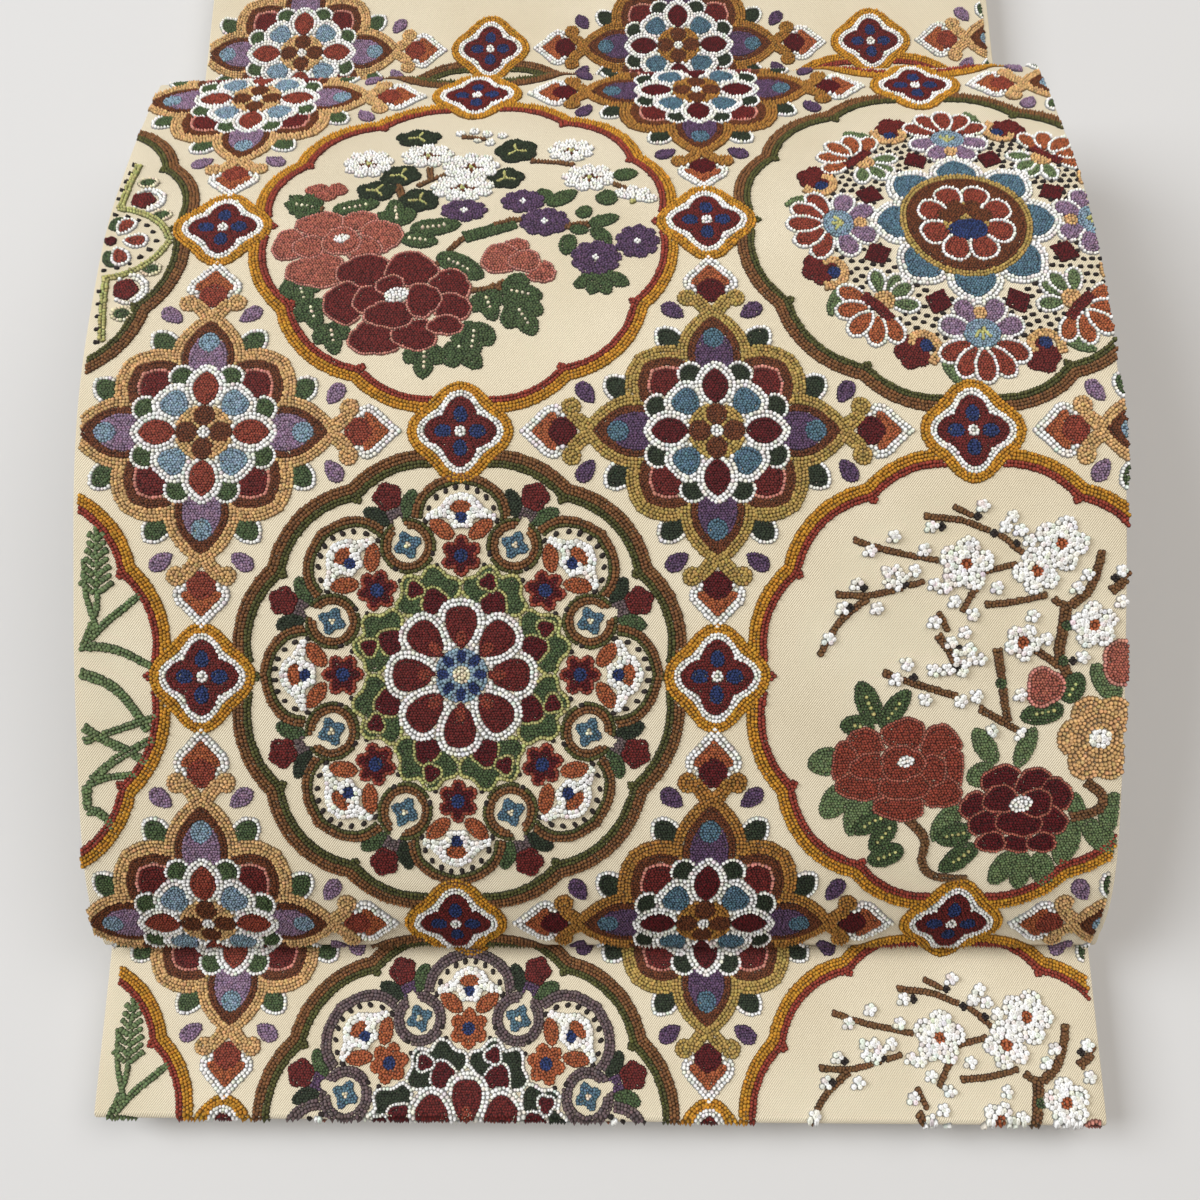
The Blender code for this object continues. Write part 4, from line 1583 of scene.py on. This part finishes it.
class MakeFlowerKnots(bpy.types.Operator):
    """Knot the large pointed flowers between the rings"""

    bl_idname = "obi.flower_knots"
    bl_label = "Pointed flowers"

    def execute(self, context):
        lay_knots(2, (
            ("drum_front_flower_knots", "drum", "front flowers"),
            ("drum_crown_flower_knots", "drum", "crown flowers"),
            ("drum_back_flower_knots", "drum", "back flowers"),
            ("flap_flower_knots", "flap", "flowers"),
            ("upper_flower_knots", "upper", "flowers"),
        ))
        return {"FINISHED"}


class MakeMedallionKnots(bpy.types.Operator):
    """Knot the medallions inside the bronze rings"""

    bl_idname = "obi.medallion_knots"
    bl_label = "Medallions"

    def execute(self, context):
        lay_knots(3, (("drum_medallion_knots", "drum", "medallions"),))
        return {"FINISHED"}


class MakeGardenKnots(bpy.types.Operator):
    """Knot the peonies, plum branches and grasses inside the gold rings, and the flap's fillings"""

    bl_idname = "obi.garden_knots"
    bl_label = "Gardens"

    def execute(self, context):
        lay_knots(4, (
            ("drum_garden_knots", "drum", "garden"),
            ("flap_filling_knots", "flap", "fillings"),
        ))
        return {"FINISHED"}


class MakeStage(bpy.types.Operator):
    """Set the pale table, the soft lamps and the camera"""

    bl_idname = "obi.stage"
    bl_label = "Table, lamps and camera"

    def execute(self, context):
        scene = context.scene
        settings = scene.obi_stage
        material, nodes, _ = new_material("table cloth")
        shader = nodes["Principled BSDF"]
        shader.inputs["Base Color"].default_value = (*settings.table, 1.0)
        shader.inputs["Roughness"].default_value = 0.85
        shader.inputs["Specular IOR Level"].default_value = 0.2
        square = TABLE_HALF * np.array([[-1, -1, 0], [1, -1, 0], [1, 1, 0], [-1, 1, 0]])
        table = new_object("table", square, np.array([[0, 1, 2, 3]]), material, smooth_faces=False)

        world = bpy.data.worlds.new("room light")
        world.use_nodes = True
        background = world.node_tree.nodes["Background"]
        background.inputs["Color"].default_value = (1.0, 0.92, 0.82, 1.0)
        background.inputs["Strength"].default_value = settings.room
        scene.world = world
        for name, place, size, strength, colour in (
            ("window", (-2.40, 0.35, 2.15), 1.8, 1.0, (0.95, 0.98, 1.0)),
            ("skylight", (0.90, 0.45, 2.00), 1.6, SKYLIGHT_SHARE, (1.0, 0.97, 0.93)),
        ):
            data = bpy.data.lights.new(name, "AREA")
            data.size = size
            data.energy = settings.window * strength
            data.color = colour
            lamp = bpy.data.objects.new(name, data)
            lamp.location = place
            away = np.array(place) - (0.0, 0.0, 0.05)  # from the sash, which it is aimed at
            turn = math.atan2(away[1], away[0]) + math.pi / 2
            lamp.rotation_euler = (math.acos(away[2] / np.linalg.norm(away)), 0.0, turn)
            scene.collection.objects.link(lamp)

        data = bpy.data.cameras.new("camera")
        data.sensor_fit = "HORIZONTAL"
        data.sensor_width = 36.0
        data.lens = 36.0
        data.clip_start = 0.01
        camera = bpy.data.objects.new("camera", data)
        camera.location = (0.0, -FOOTPRINT_MIDDLE, BASE + settings.camera_height)
        camera.rotation_euler = (settings.camera_tilt, 0.0, 0.0)
        scene.collection.objects.link(camera)
        scene.camera = camera
        scene.view_settings.view_transform = "Standard"
        return {"FINISHED"}


STEPS = (
    MakeFaceCloth,
    MakeLining,
    MakeFoldedLayers,
    MakeRingKnots,
    MakeFlowerKnots,
    MakeMedallionKnots,
    MakeGardenKnots,
    MakeStage,
)


class ObiPanel(bpy.types.Panel):
    """The sash's settings and steps"""

    bl_idname = "VIEW3D_PT_obi"
    bl_label = "Obi sash"
    bl_space_type = "VIEW_3D"
    bl_region_type = "UI"
    bl_category = "Obi"

    def draw(self, context):
        layout = self.layout
        scene = context.scene
        for group, names in (
            (scene.obi_cloth, ("ground", "lining", "twill_pitch", "undulation")),
            (scene.obi_knots, ("height", "unevenness")),
            (scene.obi_stage, ("table", "window", "room", "camera_height", "camera_tilt")),
        ):
            box = layout.box()
            for name in names:
                box.prop(group, name)
        for step in STEPS:
            layout.operator(step.bl_idname)


GROUPS = (
    ("obi_cloth", ObiClothSettings),
    ("obi_knots", ObiKnotSettings),
    ("obi_stage", ObiStageSettings),
)


def register():
    for name, group in GROUPS:
        bpy.utils.register_class(group)
        setattr(bpy.types.Scene, name, PointerProperty(type=group))
    for step in STEPS:
        bpy.utils.register_class(step)
    bpy.utils.register_class(ObiPanel)


def unregister():
    bpy.utils.unregister_class(ObiPanel)
    for step in reversed(STEPS):
        bpy.utils.unregister_class(step)
    for name, group in reversed(GROUPS):
        delattr(bpy.types.Scene, name)
        bpy.utils.unregister_class(group)


def main():
    register()
    for step in STEPS:
        category, name = step.bl_idname.split(".")
        getattr(getattr(bpy.ops, category), name)()


if __name__ == "__main__":
    main()
